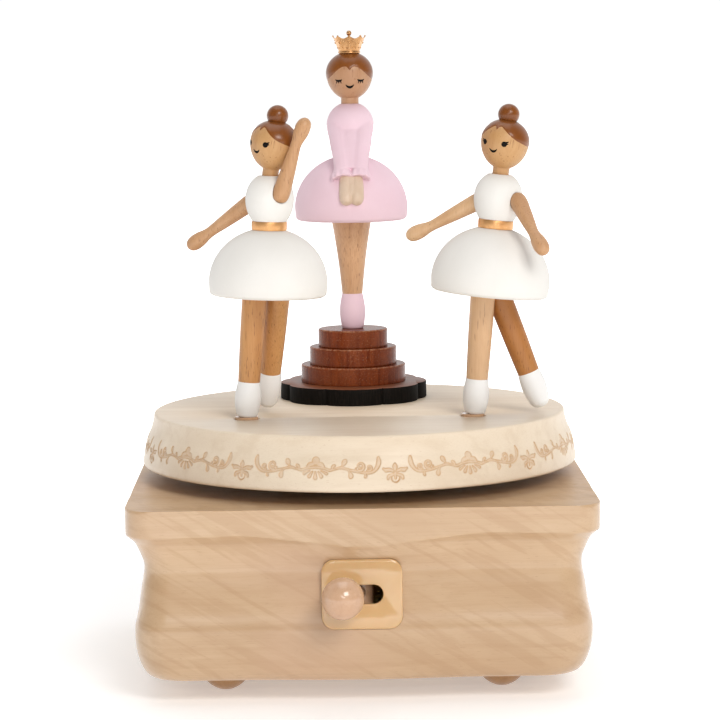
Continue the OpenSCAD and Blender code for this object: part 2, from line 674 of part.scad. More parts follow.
// The planet's turn sets its teeth in the sun's gaps
planet_thin = 0.16;
function polar(side) = atan2(dancer_at(side).y, dancer_at(side).x);
function planet_turn(side) = let (off = sun_turn - polar(side))
    polar(side) + 180 - 180 / planet_teeth - sun_teeth / planet_teeth * off;
module planet_gear(side) color(nylon) dancer(side) translate([0, 0, gear_z - table_top]) difference() {
    rotate(planet_turn(side)) gear(gear_m, planet_teeth, gear_h - 0.2, planet_thin);
    translate([0, 0, -1]) cylinder(r = 2, h = 10);
}

shoe_h = 9.4;
module shoes(side) color(chalk) dancer(side) {
    difference() {
        along(shoe_foot(side), leg_top(side)) rotate(77) translate([0, 0, -1]) turned(barrel(2.6, 2.95, 1.05, shoe_h + 1, 14));
        translate([-8, -8, spindle_up - 5]) cube([16, 16, 5]);
    }
    along(toe(side), free_leg_top(side)) turned(concat([[1.2, -0.5], [2.1, 0.1]],
        [for (p = barrel(2.6, 2.95, 0.9, shoe_h - 0.8)) [p.x, p.y + 0.8]]));
}

module legs(side) color(oak) dancer(side) difference() {
    union() {
        for (ends = [[shoe_foot(side), leg_top(side)], [toe(side), free_leg_top(side)]])
            along(ends[0], ends[1]) translate([0, 0, shoe_h]) turned(barrel(2.95, 3.3, 0.1, 26));
    }
    upper(side) cylinder(r = 30, h = 30);
}

module skirt(side) color(chalk) dancer(side) upper(side) turned(dome(skirt_r, 4.6));

belt_h = 2.4;
module belt(side) color(gold) dancer(side) upper(side, skirt_h) turned(barrel(4.65, 4.65, 0.1, belt_h, 4));

module arm_shape(points) {
    along(points[0], points[1]) turned([
        [0.8, -0.9], [1.6, -0.6], [2.1, 0], [2.3, 1], [2.25, 4], [1.95, 8],
        [1.55, 0.78 * norm(points[1] - points[0])], [1.4, norm(points[1] - points[0])]]);
    along(points[1], points[2]) turned(egg_cap(2.05, 4.9, 5.9, 2.6, -0.6));
}
module arms(side) color(oak) dancer(side) for (points = arm_points(side)) arm_shape(points);

torso_h = 12.1;
module torso(side) color(chalk) dancer(side) difference() {
    upper(side, skirt_h + belt_h) turned(egg(6.5, 6, 8.5, 7, 0, torso_h));
    for (points = arm_points(side)) arm_shape(points);
}

module on_torso(side) dancer(side) upper(side, skirt_h + belt_h + torso_h) children();
module tip_head(side) rotate([0, head_lean(side) - lean(side), 0]) rotate(face_turn(side)) children();
bun_z = dancer_neck_h + 13.5;
bun_r = 2.85;
module head(side) color(oak) on_torso(side) difference() {
    tip_head(side) translate([0, 0, -0.3]) head_shape(2.2, 6.4, dancer_neck_h);
    tip_head(side) translate([0, 0, bun_z]) sphere(r = bun_r);
    translate([-5, -5, -5]) cube([10, 10, 5]);
}
module bun(side) color(hair) on_torso(side) tip_head(side) translate([0, 0, bun_z]) sphere(r = bun_r);

// ---------- every node ----------

on_axis() box_body();
on_axis() base_board();
on_axis() ball_feet();
on_axis() base_screws();
on_axis() switch_plate();
on_axis() shaft_bush();
on_axis() sun_gear();
on_axis() sun_gear_screws();
on_axis() bedplate();
on_axis() bedplate_screws();
on_axis() comb();
on_axis() comb_screws();
on_axis() cylinder_bracket();
on_axis() governor_frame();
on_axis() ratchet_click();
on_axis() turntable();
on_axis() turntable_underplate();
on_axis() turntable_hub();
on_axis() turntable_screws();
on_axis() drive_shaft();
on_axis() spring_barrel();
on_axis() mainspring();
on_axis() pedestal_base();
on_axis() pedestal_tiers();
on_axis() princess_leg();
on_axis() princess_shoe();
on_axis() princess_skirt();
on_axis() princess_bodice();
on_axis() princess_hands();
on_axis() princess_head();
on_axis() princess_crown();
on_axis() spindle(-1);  // left_spindle
on_axis() planet_gear(-1);  // left_planet_gear
on_axis() legs(-1);  // left_legs
on_axis() shoes(-1);  // left_shoes
on_axis() skirt(-1);  // left_skirt
on_axis() belt(-1);  // left_belt
on_axis() torso(-1);  // left_torso
on_axis() arms(-1);  // left_arms
on_axis() head(-1);  // left_head
on_axis() bun(-1);  // left_bun
on_axis() spindle(1);  // right_spindle
on_axis() planet_gear(1);  // right_planet_gear
on_axis() legs(1);  // right_legs
on_axis() shoes(1);  // right_shoes
on_axis() skirt(1);  // right_skirt
on_axis() belt(1);  // right_belt
on_axis() torso(1);  // right_torso
on_axis() arms(1);  // right_arms
on_axis() head(1);  // right_head
on_axis() bun(1);  // right_bun
on_axis() winding_key();
on_axis() winding_arbor();
on_axis() music_cylinder();
on_axis() cylinder_arbor();
on_axis() worm_wheel();
on_axis() airbrake();
on_axis() switch_lever();
on_axis() switch_knob();
on_axis() brake_wire();
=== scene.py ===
import json
import math
import bmesh
import bpy
import numpy as np
from mathutils import Matrix, Vector
from mathutils.geometry import delaunay_2d_cdt


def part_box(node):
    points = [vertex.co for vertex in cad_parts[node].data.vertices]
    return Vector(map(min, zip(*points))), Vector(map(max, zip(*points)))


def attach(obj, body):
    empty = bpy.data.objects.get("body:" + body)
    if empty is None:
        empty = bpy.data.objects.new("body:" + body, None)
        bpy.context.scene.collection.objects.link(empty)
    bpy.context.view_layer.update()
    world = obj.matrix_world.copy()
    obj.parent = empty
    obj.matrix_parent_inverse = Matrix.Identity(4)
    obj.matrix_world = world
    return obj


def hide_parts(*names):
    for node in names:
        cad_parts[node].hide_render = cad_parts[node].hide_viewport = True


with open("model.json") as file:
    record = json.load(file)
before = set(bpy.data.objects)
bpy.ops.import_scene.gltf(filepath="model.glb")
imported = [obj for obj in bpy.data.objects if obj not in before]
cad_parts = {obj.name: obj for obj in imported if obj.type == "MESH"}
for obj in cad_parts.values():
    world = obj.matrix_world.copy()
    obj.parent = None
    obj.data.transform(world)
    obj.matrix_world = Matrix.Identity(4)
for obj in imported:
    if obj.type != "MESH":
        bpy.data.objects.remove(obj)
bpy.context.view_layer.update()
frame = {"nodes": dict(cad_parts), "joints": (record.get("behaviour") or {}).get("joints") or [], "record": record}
MM = 0.001
ORIGIN = Matrix.Identity(4)


def shift(x, y, z=0):
    return Matrix.Translation((x, y, z))


def tilt(degrees, axis="Y"):
    return Matrix.Rotation(math.radians(degrees), 4, axis)


# ---- places, all in mm, from the frame
joint = {j["name"]: j for j in frame["joints"]}


def mm(point):
    return Vector(point) * 1000


def corners(node):
    """The lowest and the highest corner of a CAD piece's box."""
    return [mm(corner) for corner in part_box(node)]


def heights(node):
    return [corner.z for corner in corners(node)]


def half_width(node):
    low, high = corners(node)
    return (high.x - low.x) / 2


AXIS = mm(joint["turntable_spin"]["pos_m"])
AY = AXIS.y
BOX_LOW, BOX_TOP = heights("box_body")
HALF = half_width("box_body")
TABLE_Z, TABLE_TOP = heights("turntable")
low, high = corners("pedestal_tiers")
PEDESTAL = Vector(((low.x + high.x) / 2, (low.y + high.y) / 2, low.z))
STAGE_Z = high.z
TIER_H = (high.z - low.z) / 3
DANCER = {side: Vector((*mm(joint[side + "_dancer_spin"]["pos_m"]).xy, TABLE_TOP))
          for side in ("left", "right")}


# ---- shader helpers
class Nodes:
    def __init__(self, name):
        self.mat = bpy.data.materials.new(name)
        self.mat.use_nodes = True
        self.tree = self.mat.node_tree
        self.bsdf = self.tree.nodes["Principled BSDF"]
        self.coord = self.tree.nodes.new("ShaderNodeTexCoord").outputs["Object"]

    def put(self, socket, value):
        if isinstance(value, bpy.types.NodeSocket):
            self.tree.links.new(value, socket)
        elif isinstance(value, tuple) and len(value) == 3 and socket.type == "RGBA":
            socket.default_value = (*value, 1)
        else:
            socket.default_value = value

    def add(self, kind, out=0, settings=None, **values):
        node = self.tree.nodes.new("ShaderNode" + kind)
        for key, value in (settings or {}).items():
            setattr(node, key, value)
        for key, value in values.items():
            place = int(key[1:]) if key[0] == "i" and key[1:].isdigit() else key
            self.put(node.inputs[place], value)
        return node.outputs[out]

    def space(self, scale, shift=(0, 0, 0)):
        return self.add("Mapping", Vector=self.coord, Scale=tuple(1000 * s for s in scale), Location=shift)

    def slanted(self, turn, scale):
        """Space that is turned first and then stretched."""
        turned = self.add("Mapping", Vector=self.coord, Rotation=turn)
        return self.add("Mapping", Vector=turned, Scale=tuple(1000 * s for s in scale))

    def noise(self, where, detail=4, rough=0.55, distortion=0.0):
        """Noise in a space, or in one given by its three scales alone."""
        where = self.space(where) if isinstance(where, tuple) else where
        return self.add("TexNoise", Vector=where, Scale=1, Detail=detail, Roughness=rough,
                        Distortion=distortion)

    def ramp(self, value, low, high, out_low=0.0, out_high=1.0):
        settings = {"interpolation_type": "SMOOTHSTEP"}
        return self.add("MapRange", 0, settings, i0=value, i1=low, i2=high, i3=out_low, i4=out_high)

    def mix(self, factor, a, b):
        node = self.tree.nodes.new("ShaderNodeMix")
        node.data_type = "RGBA"
        self.put(node.inputs[0], factor)
        self.put(node.inputs[6], a)
        self.put(node.inputs[7], b)
        return node.outputs[2]

    def calc(self, operation, a, b=0.0):
        return self.add("Math", settings={"operation": operation}, i0=a, i1=b)

    def layer(self, colour, pattern, low, high, amount, over):
        """Another colour over the first, where a pattern rises from low to high."""
        return self.mix(self.calc("MULTIPLY", self.ramp(pattern, low, high), amount), colour, over)

    def scaled(self, value, times, plus):
        return self.calc("ADD", self.calc("MULTIPLY", value, times), plus)

    def upward(self):
        """One where the surface faces up, nought on a wall."""
        return self.add("SeparateXYZ", 2, Vector=self.add("NewGeometry", 1))

    def attribute(self, name):
        return self.add("Attribute", 2, {"attribute_name": name})

    def bump(self, height, depth_mm, strength=1.0, normal=None):
        under = {} if normal is None else {"Normal": normal}
        return self.add("Bump", Height=height, Distance=depth_mm * MM, Strength=strength, **under)

    def finish(self, **values):
        for key, value in values.items():
            self.put(self.bsdf.inputs[key.replace("_", " ")], value)
        return self.mat


def stretched(axis, along, across):
    """Noise scales for a grain along one axis."""
    return tuple(along if a == axis else across for a in "XYZ")


def wood(name, pale, dark, fleck, axis, rough, coat, coat_rough, figure=0.0, fine=0.5, flecks=0.6,
         shift=(0, 0, 0), cloud=0.6, growth=0.42, ray=(0.42, 5.5, 0.665)):
    """Lacquered wood: clouds of tone, growth lines, fibres, short dark rays, and a curly figure if asked."""
    m = Nodes(name)

    def grain(along, across, *settings):
        return m.noise(m.space(stretched(axis, along, across), shift), *settings)

    broad = grain(0.018, 0.055, 3, 0.5, 0.6)
    lines = grain(0.012, 0.42, 5, 0.62, 0.35)
    fibres = grain(0.10, 3.6, 4, 0.7)
    ray_along, ray_across, ray_start = ray
    rays = grain(ray_along, ray_across, 2, 0.5)
    shine = 0.4
    colour = m.layer(pale, broad, 0.32, 0.68, cloud, dark)
    colour = m.layer(colour, lines, 0.48, 0.66, growth, dark)
    colour = m.layer(colour, fibres, 0.42, 0.72, fine, dark)
    colour = m.layer(colour, rays, ray_start, ray_start + 0.055, flecks, fleck)
    if figure:
        bands = m.noise(m.slanted((0.3, -0.56, 0.2), (0.017, 0.06, 0.115)), 2, 0.45, 0.25)
        colour = m.layer(colour, bands, 0.44, 0.64, figure * 0.45, dark)
        curl = m.noise(m.slanted((0.2, -0.52, 0.1), (0.018, 0.10, 0.42)), 3, 0.55, 0.3)
        colour = m.layer(colour, curl, 0.51, 0.62, figure, dark)
        rosy = m.noise(m.space((0.016, 0.02, 0.03), (2, 0, 1)), 2, 0.5, 0.5)
        colour = m.layer(colour, rosy, 0.42, 0.62, 0.4, (0.59, 0.375, 0.245))
        up = m.upward()
        coat = m.ramp(up, 0.6, 0.95, coat, 0.05)
        shine = m.ramp(up, 0.6, 0.95, shine, 0.12)
    gloss = m.scaled(fibres, 0.16, rough - 0.08)
    wear = m.noise(m.space((0.16, 0.16, 0.16), shift), 3)
    gloss = m.scaled(m.ramp(wear, 0.45, 0.75), 0.10, gloss)
    normal = m.bump(fibres, 0.035, 0.35)
    normal = m.bump(m.ramp(rays, 0.62, 0.72), -0.03, 0.4, normal)
    return m.finish(Base_Color=colour, Roughness=gloss, Normal=normal, Coat_Weight=coat,
                    Coat_Roughness=coat_rough, Specular_IOR_Level=shine)


def paint(name, colour, shade, rough, metal=0.0, coat=0.0, grain=0.25, mottle=0.5, fleck=None, shine=0.5):
    """Brushed or sprayed paint on turned wood, with the grain just showing through."""
    m = Nodes(name)
    cloud = m.noise((0.10, 0.10, 0.07), 4, 0.55, 0.3)
    fibre = m.noise((1.7, 1.7, 0.16), 4, 0.6)
    peel = m.noise((2.4, 2.4, 2.4), 3, 0.6)
    base = m.layer(colour, cloud, 0.35, 0.7, mottle, shade)
    base = m.layer(base, fibre, 0.55, 0.8, grain, shade)
    if fleck:
        spots = m.noise((6, 6, 6), 2, 0.5)
        base = m.layer(base, spots, 0.62, 0.72, 0.7, fleck)
    gloss = m.scaled(peel, 0.14, rough - 0.06)
    normal = m.bump(peel, 0.02, 0.25, m.bump(fibre, 0.03, 0.3))
    return m.finish(Base_Color=base, Roughness=gloss, Normal=normal, Metallic=metal, Coat_Weight=coat,
                    Coat_Roughness=0.18, Specular_IOR_Level=shine)


def metal(name, colour, dark, rough=0.28, brushed="Z"):
    """Machined metal: brush lines one way, smudges and a little tarnish."""
    m = Nodes(name)
    lines = m.noise(stretched(brushed, 0.12, 9.0), 3, 0.6)
    smudge = m.noise((0.22, 0.22, 0.22), 4, 0.6)
    base = m.layer(colour, smudge, 0.45, 0.75, 0.5, dark)
    gloss = m.scaled(lines, 0.22, rough - 0.08)
    gloss = m.scaled(m.ramp(smudge, 0.4, 0.8), 0.12, gloss)
    return m.finish(Base_Color=base, Roughness=gloss, Metallic=1.0, Normal=m.bump(lines, 0.01, 0.3))


def plastic(name, colour, shade, rough=0.22, coat=0.0, scatter=0.0):
    m = Nodes(name)
    flow = m.noise((0.09, 0.09, 0.06), 3, 0.5, 0.8)
    scuff = m.noise((1.2, 5.0, 1.6), 3, 0.6)
    base = m.layer(colour, flow, 0.3, 0.75, 0.55, shade)
    gloss = m.scaled(m.ramp(scuff, 0.45, 0.8), 0.12, rough)
    return m.finish(Base_Color=base, Roughness=gloss, Normal=m.bump(flow, 0.05, 0.25), Coat_Weight=coat,
                    Coat_Roughness=0.08, Subsurface_Weight=scatter, Subsurface_Scale=0.002)


# ---- mesh helpers
def smooth(mesh, sharp=None):
    """Smooth shading, with sharp edges from an angle in degrees up if one is given."""
    for face in mesh.polygons:
        face.use_smooth = True
    if sharp:
        mesh.set_sharp_from_angle(angle=math.radians(sharp))


def make(name, part, body=None, node=None, looks=(), place=ORIGIN, sharp=35, second=None):
    """A mesh object from (points in mm in its own frame, faces), set at place (mm) and riding on a body.

    It stands for a CAD node, and is paint on another piece if it names none. With two materials, the
    second one starts at the face with that number.
    """
    points, faces = part
    mesh = bpy.data.meshes.new(name)
    mesh.from_pydata([tuple(c * MM for c in p) for p in points], [], faces)
    mesh.validate()
    bm = bmesh.new()
    bm.from_mesh(mesh)
    bmesh.ops.recalc_face_normals(bm, faces=bm.faces)
    bm.to_mesh(mesh)
    bm.free()
    for face in mesh.polygons if second else ():
        face.material_index = int(face.index >= second)
    smooth(mesh, sharp)
    obj = bpy.data.objects.new(name, mesh)
    bpy.context.scene.collection.objects.link(obj)
    for look in looks:
        mesh.materials.append(look)
    move = place.copy()
    move.translation = place.translation * MM
    obj.matrix_world = move
    if body:
        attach(obj, body)
    if node:
        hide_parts(node)
    return obj


def spline(points, steps):
    """Points on a smooth curve through the given ones, which may have any number of values each."""
    pts = [np.array(p, float) for p in points]
    pts = [2 * pts[0] - pts[1]] + pts + [2 * pts[-1] - pts[-2]]
    out = []
    for i in range(1, len(pts) - 2):
        a, b, c, d = pts[i - 1:i + 3]
        for k in range(steps):
            t = k / steps
            out.append(0.5 * (2 * b + (c - a) * t + (2 * a - 5 * b + 4 * c - d) * t * t
                              + (3 * b - a - 3 * c + d) * t ** 3))
    return out + [pts[-2]]


def rings_mesh(rings, cap=True):
    """Points and the faces that join rings of equally many points. A ring of one point is a tip."""
    points, faces, starts = [], [], []
    for ring in rings:
        starts.append(len(points))
        points += [tuple(p) for p in ring]
    for j in range(len(rings) - 1):
        a, b, na, nb = starts[j], starts[j + 1], len(rings[j]), len(rings[j + 1])
        n = max(na, nb)
        for i in range(n):
            k = (i + 1) % n
            if na == 1:
                faces.append((a, b + k, b + i))
            elif nb == 1:
                faces.append((a + i, a + k, b))
            else:
                faces.append((a + i, a + k, b + k, b + i))
    if cap:
        for j in (0, len(rings) - 1):
            if len(rings[j]) > 2:
                faces.append(tuple(range(starts[j], starts[j] + len(rings[j]))))
    return points, faces


def polar(r, angle):
    return r * math.cos(angle), r * math.sin(angle)


def circle(r, z, n):
    return [(*polar(r, 2 * math.pi * i / n), z) for i in range(n)]


def lathe(outline, n=96):
    """Turned about Z from (radius, height) pairs. A radius under 0.01 is a tip on the axis."""
    return rings_mesh([[(0, 0, z)] if r < 0.01 else circle(r, z, n) for r, z in outline])


def limb(path, radii, n=40, squash=1.0):
    """A round limb along a path, with a radius at each point of it."""
    pts = [Vector(p) for p in path]
    rings = []
    side = None
    for i, (p, r) in enumerate(zip(pts, map(float, radii))):
        d = (pts[min(i + 1, len(pts) - 1)] - pts[max(i - 1, 0)]).normalized()
        side = Vector((0, 1, 0)) if side is None else side
        side = (side - d * side.dot(d)).normalized()
        up = d.cross(side)
        if r < 0.01:
            rings.append([tuple(p)])
        else:
            rings.append([tuple(p + r * (side * math.cos(2 * math.pi * k / n)
                                         + up * squash * math.sin(2 * math.pi * k / n))) for k in range(n)])
    return rings_mesh(rings)


def together(parts):
    """Several parts as one."""
    points, faces = [], []
    for p, f in parts:
        base = len(points)
        points += list(p)
        faces += [tuple(i + base for i in face) for face in f]
    return points, faces


def moved(part, matrix):
    return [tuple(matrix @ Vector(p)) for p in part[0]], part[1]


def settle(obj, sharp=None):
    """Replaces the object's mesh with what its modifiers make of it."""
    bpy.context.view_layer.update()
    mesh = bpy.data.meshes.new_from_object(obj.evaluated_get(bpy.context.evaluated_depsgraph_get()))
    obj.modifiers.clear()
    obj.data = mesh
    smooth(mesh, sharp)


def cut(target, parts):
    """Cuts parts, each given with its place, away from the target."""
    cutters = [make("tool", part, place=place) for part, place in parts]
    for cutter in cutters:
        bpy.context.view_layer.update()
        mod = target.modifiers.new("cut", "BOOLEAN")
        mod.operation = "DIFFERENCE"
        mod.solver = "EXACT"
        mod.object = cutter
    settle(target, 32)
    for cutter in cutters:
        bpy.data.objects.remove(cutter)


def melt(obj, voxel, rounds):
    """Runs overlapping parts into one skin and softens where they meet."""
    mod = obj.modifiers.new("join", "REMESH")
    mod.mode = "VOXEL"
    mod.voxel_size = voxel * MM
    mod = obj.modifiers.new("soften", "SMOOTH")
    mod.factor = 0.5
    mod.iterations = rounds
    settle(obj)


def point_values(obj, name, values):
    """Gives the mesh one number a point, for a material to read."""
    layer = obj.data.attributes.new(name, "FLOAT", "POINT")
    if len(layer.data) == len(values):
        layer.data.foreach_set("value", np.array(values, np.float32))


def block(a, b):
    xs, ys, zs = zip(a, b)
    points = [(x, y, z) for x in xs for y in ys for z in zs]
    return points, [(0, 1, 3, 2), (4, 6, 7, 5), (0, 4, 5, 1), (2, 3, 7, 6), (0, 2, 6, 4), (1, 5, 7, 3)]


def along(p, q):
    """The place of a part that starts at p with its Z towards q."""
    p, q = Vector(p), Vector(q)
    d = (q - p).normalized()
    return (Matrix.Translation(p) @ Matrix.Rotation(math.atan2(d.y, d.x), 4, "Z")
            @ Matrix.Rotation(math.acos(d.z), 4, "Y"))


def arc(x, y, r, degrees):
    """Points round a centre at the given angles."""
    return [(x + dx, y + dy) for dx, dy in (polar(r, math.radians(a)) for a in degrees)]


def rounded(w, d, r, n=12):
    """A rectangle with round corners of n steps each."""
    out = []
    for cx, cy, start in ((1, 1, 0), (-1, 1, 90), (-1, -1, 180), (1, -1, 270)):
        out += arc(cx * (w / 2 - r), cy * (d / 2 - r), r, [start + 90 * i / n for i in range(n + 1)])
    return out


def fill(loops):
    """Triangles of a flat region: the first loop is its outside, the others are holes."""
    points = [Vector(p) for loop in loops for p in loop]
    edges, base = [], 0
    for loop in loops:
        edges += [(base + i, base + (i + 1) % len(loop)) for i in range(len(loop))]
        base += len(loop)
    verts, _, tris, *_ = delaunay_2d_cdt(points, edges, [], 0, 1e-6)

    def inside(p, loop):
        hit = False
        for i in range(len(loop)):
            (x1, y1), (x2, y2) = loop[i], loop[i - 1]
            if (y1 > p.y) != (y2 > p.y) and p.x < (x2 - x1) * (p.y - y1) / (y2 - y1) + x1:
                hit = not hit
        return hit

    keep = []
    for t in tris:
        c = sum((verts[i] for i in t), Vector((0, 0))) / 3
        if inside(c, loops[0]) and not any(inside(c, h) for h in loops[1:]):
            keep.append(tuple(t))
    return keep


# ---- materials
box_wood = wood("beech_box", (0.62, 0.43, 0.262), (0.46, 0.275, 0.14), (0.34, 0.18, 0.09), "X", 0.34, 0.85,
                0.16, figure=0.36, fine=0.26, flecks=0.4, cloud=0.40, growth=0.28)
small_beech = wood("beech_small", (0.66, 0.43, 0.27), (0.54, 0.32, 0.18), (0.33, 0.17, 0.08), "Z", 0.22, 0.5,
                   0.08, fine=0.3, flecks=0.5)
knob_beech = wood("beech_knob", (0.66, 0.42, 0.27), (0.54, 0.31, 0.18), (0.36, 0.18, 0.09), "Y", 0.2, 0.8,
                  0.1, fine=0.4, flecks=0.5)
# A darker beech for the ball feet, as painted shade under the box
shaded_foot_beech = wood("beech_feet_shaded", (0.56, 0.33, 0.16), (0.42, 0.225, 0.10), (0.24, 0.11, 0.05), "Z", 0.3, 0.4,
                  0.12, fine=0.35, flecks=0.5)
board_beech = wood("beech_board", (0.60, 0.40, 0.22), (0.45, 0.27, 0.13), (0.28, 0.14, 0.06), "X", 0.45, 0.1,
                   0.2, fine=0.4, flecks=0.5, shift=(3, 1, 5))
# Rays as (scale along the grain, scale across it, where they start)
BEECH = (0.26, 3.0, 0.63)
LONG = (0.13, 2.4, 0.655)
skin_wood = wood("skin_wood", (0.58, 0.295, 0.105), (0.42, 0.175, 0.048), (0.15, 0.05, 0.016), "Z", 0.42, 0.1,
                 0.2, fine=0.6, flecks=0.6, cloud=0.7, ray=BEECH)
face_wood = wood("face_wood", (0.465, 0.255, 0.14), (0.38, 0.18, 0.08), (0.20, 0.06, 0.025), "Z", 0.45, 0.1,
                 0.2, fine=0.35, flecks=0.6, cloud=0.5, shift=(1, 4, 0), ray=LONG)
dancer_face = wood("dancer_face", (0.53, 0.30, 0.125), (0.43, 0.205, 0.075), (0.20, 0.06, 0.02), "Z", 0.45,
                   0.1, 0.2, fine=0.4, flecks=0.7, cloud=0.5, shift=(4, 2, 3), ray=LONG)
# A darker copy of the skin wood, as painted shade for a leg under a skirt
shaded_skin = wood("shaded_skin", (0.46, 0.195, 0.05), (0.34, 0.125, 0.028), (0.13, 0.04, 0.012), "Z", 0.42, 0.1,
                 0.2, fine=0.6, flecks=0.6, cloud=0.7, shift=(6, 1, 2), ray=BEECH)
leg_wood = wood("leg_wood", (0.60, 0.355, 0.19), (0.44, 0.22, 0.095), (0.20, 0.07, 0.03), "Z", 0.42, 0.1,
                0.2, fine=0.6, flecks=0.55, cloud=0.7, shift=(5, 5, 0), ray=BEECH)
pale_skin = wood("pale_skin", (0.66, 0.425, 0.24), (0.54, 0.31, 0.15), (0.30, 0.15, 0.07), "Z", 0.38, 0.15,
                 0.2, fine=0.5, flecks=0.6, cloud=0.6, shift=(2, 7, 1), ray=LONG)
peach_wood = wood("peach_wood", (0.70, 0.545, 0.42), (0.60, 0.44, 0.31), (0.45, 0.25, 0.13), "Z", 0.4, 0.1,
                  0.15, fine=0.2, flecks=0.2, cloud=0.5)
white_paint = paint("chalk_paint", (0.78, 0.755, 0.715), (0.735, 0.71, 0.67), 0.55, shine=0.35)
shoe_paint = paint("shoe_paint", (0.84, 0.83, 0.815), (0.79, 0.775, 0.755), 0.5, shine=0.4)
pink_paint = paint("pink_paint", (0.79, 0.585, 0.655), (0.75, 0.53, 0.60), 0.6, shine=0.3)
gold_paint = paint("gold_paint", (0.74, 0.40, 0.165), (0.58, 0.27, 0.09), 0.36, 0.7, 0.15,
                   fleck=(0.95, 0.72, 0.38))
crown_gold = paint("crown_gold", (0.66, 0.37, 0.16), (0.40, 0.17, 0.05), 0.3, 0.85, 0.2,
                   mottle=0.8, fleck=(1.0, 0.80, 0.55))
hair_paint = paint("hair_paint", (0.215, 0.066, 0.011), (0.15, 0.040, 0.006), 0.30, 0.0, 0.2,
                   grain=0.4, mottle=0.7, shine=0.3)
ink = paint("ink", (0.006, 0.005, 0.004), (0.012, 0.009, 0.008), 0.7, shine=0.1)
cream = plastic("cream_plastic", (0.66, 0.41, 0.19), (0.60, 0.36, 0.155), 0.16, 1.0, 0.1)
nylon = plastic("nylon", (0.80, 0.78, 0.71), (0.70, 0.68, 0.61), 0.45)
brass = metal("brass", (0.72, 0.52, 0.19), (0.42, 0.27, 0.09), 0.28)
steel = metal("steel", (0.56, 0.56, 0.57), (0.34, 0.33, 0.33), 0.30, "X")


def table_wood():
    """Pale maple, with the cut scrollwork scorched and the tops of the dancers' holes darkened with painted shade,
    where the mesh says so.
    """
    m = Nodes("maple_table")
    broad = m.noise((0.020, 0.05, 0.045), 3, 0.5, 0.8)
    lines = m.noise((0.014, 0.32, 0.26), 5, 0.6, 0.3)
    fibres = m.noise((0.12, 3.4, 3.0), 4, 0.7)
    rays = m.noise((0.5, 4.6, 4.6), 2, 0.5)
    pale, deep = (0.77, 0.65, 0.505), (0.645, 0.505, 0.36)
    colour = m.layer(pale, broad, 0.35, 0.7, 0.42, deep)
    colour = m.layer(colour, lines, 0.47, 0.68, 0.38, deep)
    colour = m.layer(colour, fibres, 0.42, 0.75, 0.28, deep)
    colour = m.layer(colour, rays, 0.66, 0.72, 0.30, (0.45, 0.26, 0.12))
    patchy = m.noise((0.5, 0.5, 0.5), 3, 0.6)
    scorch_and_shade = m.calc("MULTIPLY", m.attribute("scorch_and_shade"), m.ramp(patchy, 0.2, 0.7, 0.55, 1.0))
    colour = m.mix(scorch_and_shade, colour, (0.53, 0.29, 0.12))
    gloss = m.scaled(fibres, 0.14, 0.32)
    gloss = m.scaled(scorch_and_shade, 0.3, gloss)
    normal = m.bump(fibres, 0.03, 0.3)
    return m.finish(Base_Color=colour, Roughness=gloss, Normal=normal, Coat_Weight=0.08, Coat_Roughness=0.25,
                    Specular_IOR_Level=0.35)


def plaque_wood():
    """Dark stained top, burnt black on the sides where the cutter went."""
    m = Nodes("plaque_wood")
    up = m.upward()
    pores = m.noise((0.4, 4.5, 4.5), 3, 0.6)
    streak = m.noise((0.05, 0.9, 0.9), 4, 0.6, 0.4)
    top = m.mix(m.ramp(streak, 0.35, 0.7), (0.23, 0.072, 0.028), (0.13, 0.040, 0.015))
    top = m.layer(top, pores, 0.55, 0.7, 0.6, (0.02, 0.009, 0.006))
    burn = m.noise((3.2, 3.2, 0.25), 4, 0.6)
    side = m.mix(m.ramp(burn, 0.4, 0.8), (0.005, 0.004, 0.003), (0.016, 0.012, 0.010))
    face = m.ramp(up, 0.55, 0.9)
    gloss = m.scaled(pores, 0.12, m.ramp(face, 0.0, 1.0, 0.6, 0.34))
    return m.finish(Base_Color=m.mix(face, side, top), Roughness=gloss, Normal=m.bump(burn, 0.06, 0.5),
                    Specular_IOR_Level=m.ramp(face, 0.0, 1.0, 0.08, 0.3))


def step_wood():
    """Red-brown stain under gloss lacquer, with open pores, worn edges, and light specks painted in as highlights
    on the gloss.
    """
    m = Nodes("step_wood")
    streak = m.noise((0.9, 0.9, 0.10), 5, 0.65, 0.4)
    broad = m.noise((0.16, 0.16, 0.05), 3, 0.5)
    pores = m.noise((3.2, 3.2, 1.5), 3, 0.6)
    colour = m.mix(m.ramp(streak, 0.35, 0.68), (0.215, 0.042, 0.009), (0.125, 0.021, 0.004))
    colour = m.layer(colour, broad, 0.4, 0.7, 0.5, (0.25, 0.066, 0.022))
    colour = m.layer(colour, pores, 0.56, 0.68, 0.65, (0.055, 0.016, 0.009))
    rim = m.noise((1.6, 1.6, 1.6), 4, 0.6)
    worn = m.calc("MULTIPLY", m.attribute("edge"), m.ramp(rim, 0.38, 0.62))
    colour = m.mix(m.calc("MULTIPLY", worn, 0.55), colour, (0.50, 0.27, 0.16))
    # Painted highlights: light specks that stand for glints on the lacquer
    painted_glints = m.noise((4.2, 4.2, 4.2), 2, 0.5)
    colour = m.layer(colour, painted_glints, 0.60, 0.68, 0.6, (0.38, 0.16, 0.075))
    gloss = m.scaled(pores, 0.18, 0.16)
    return m.finish(Base_Color=colour, Roughness=gloss, Normal=m.bump(pores, 0.05, 0.55),
                    Specular_IOR_Level=0.1)


maple = table_wood()
plaque = plaque_wood()
steps_wood = step_wood()

cad_looks = {
    "beech_box": board_beech, "oak_figure": skin_wood, "nylon": nylon, "brass": brass, "steel": steel,
    "maple_table": maple, "walnut_step": steps_wood, "charred_base": plaque, "chalk_paint": white_paint,
    "pink_paint": pink_paint, "gold_paint": gold_paint, "hair_paint": hair_paint, "cream_plastic": cream,
}
slots = {s["node"]: s["material_slot"] for s in frame["record"]["subparts"]}
for node, obj in frame["nodes"].items():
    obj.data.materials.clear()
    obj.data.materials.append(small_beech if node.endswith("spindle") else cad_looks[slots[node]])

# ---- the box
DEEP = BOX_TOP - BOX_LOW
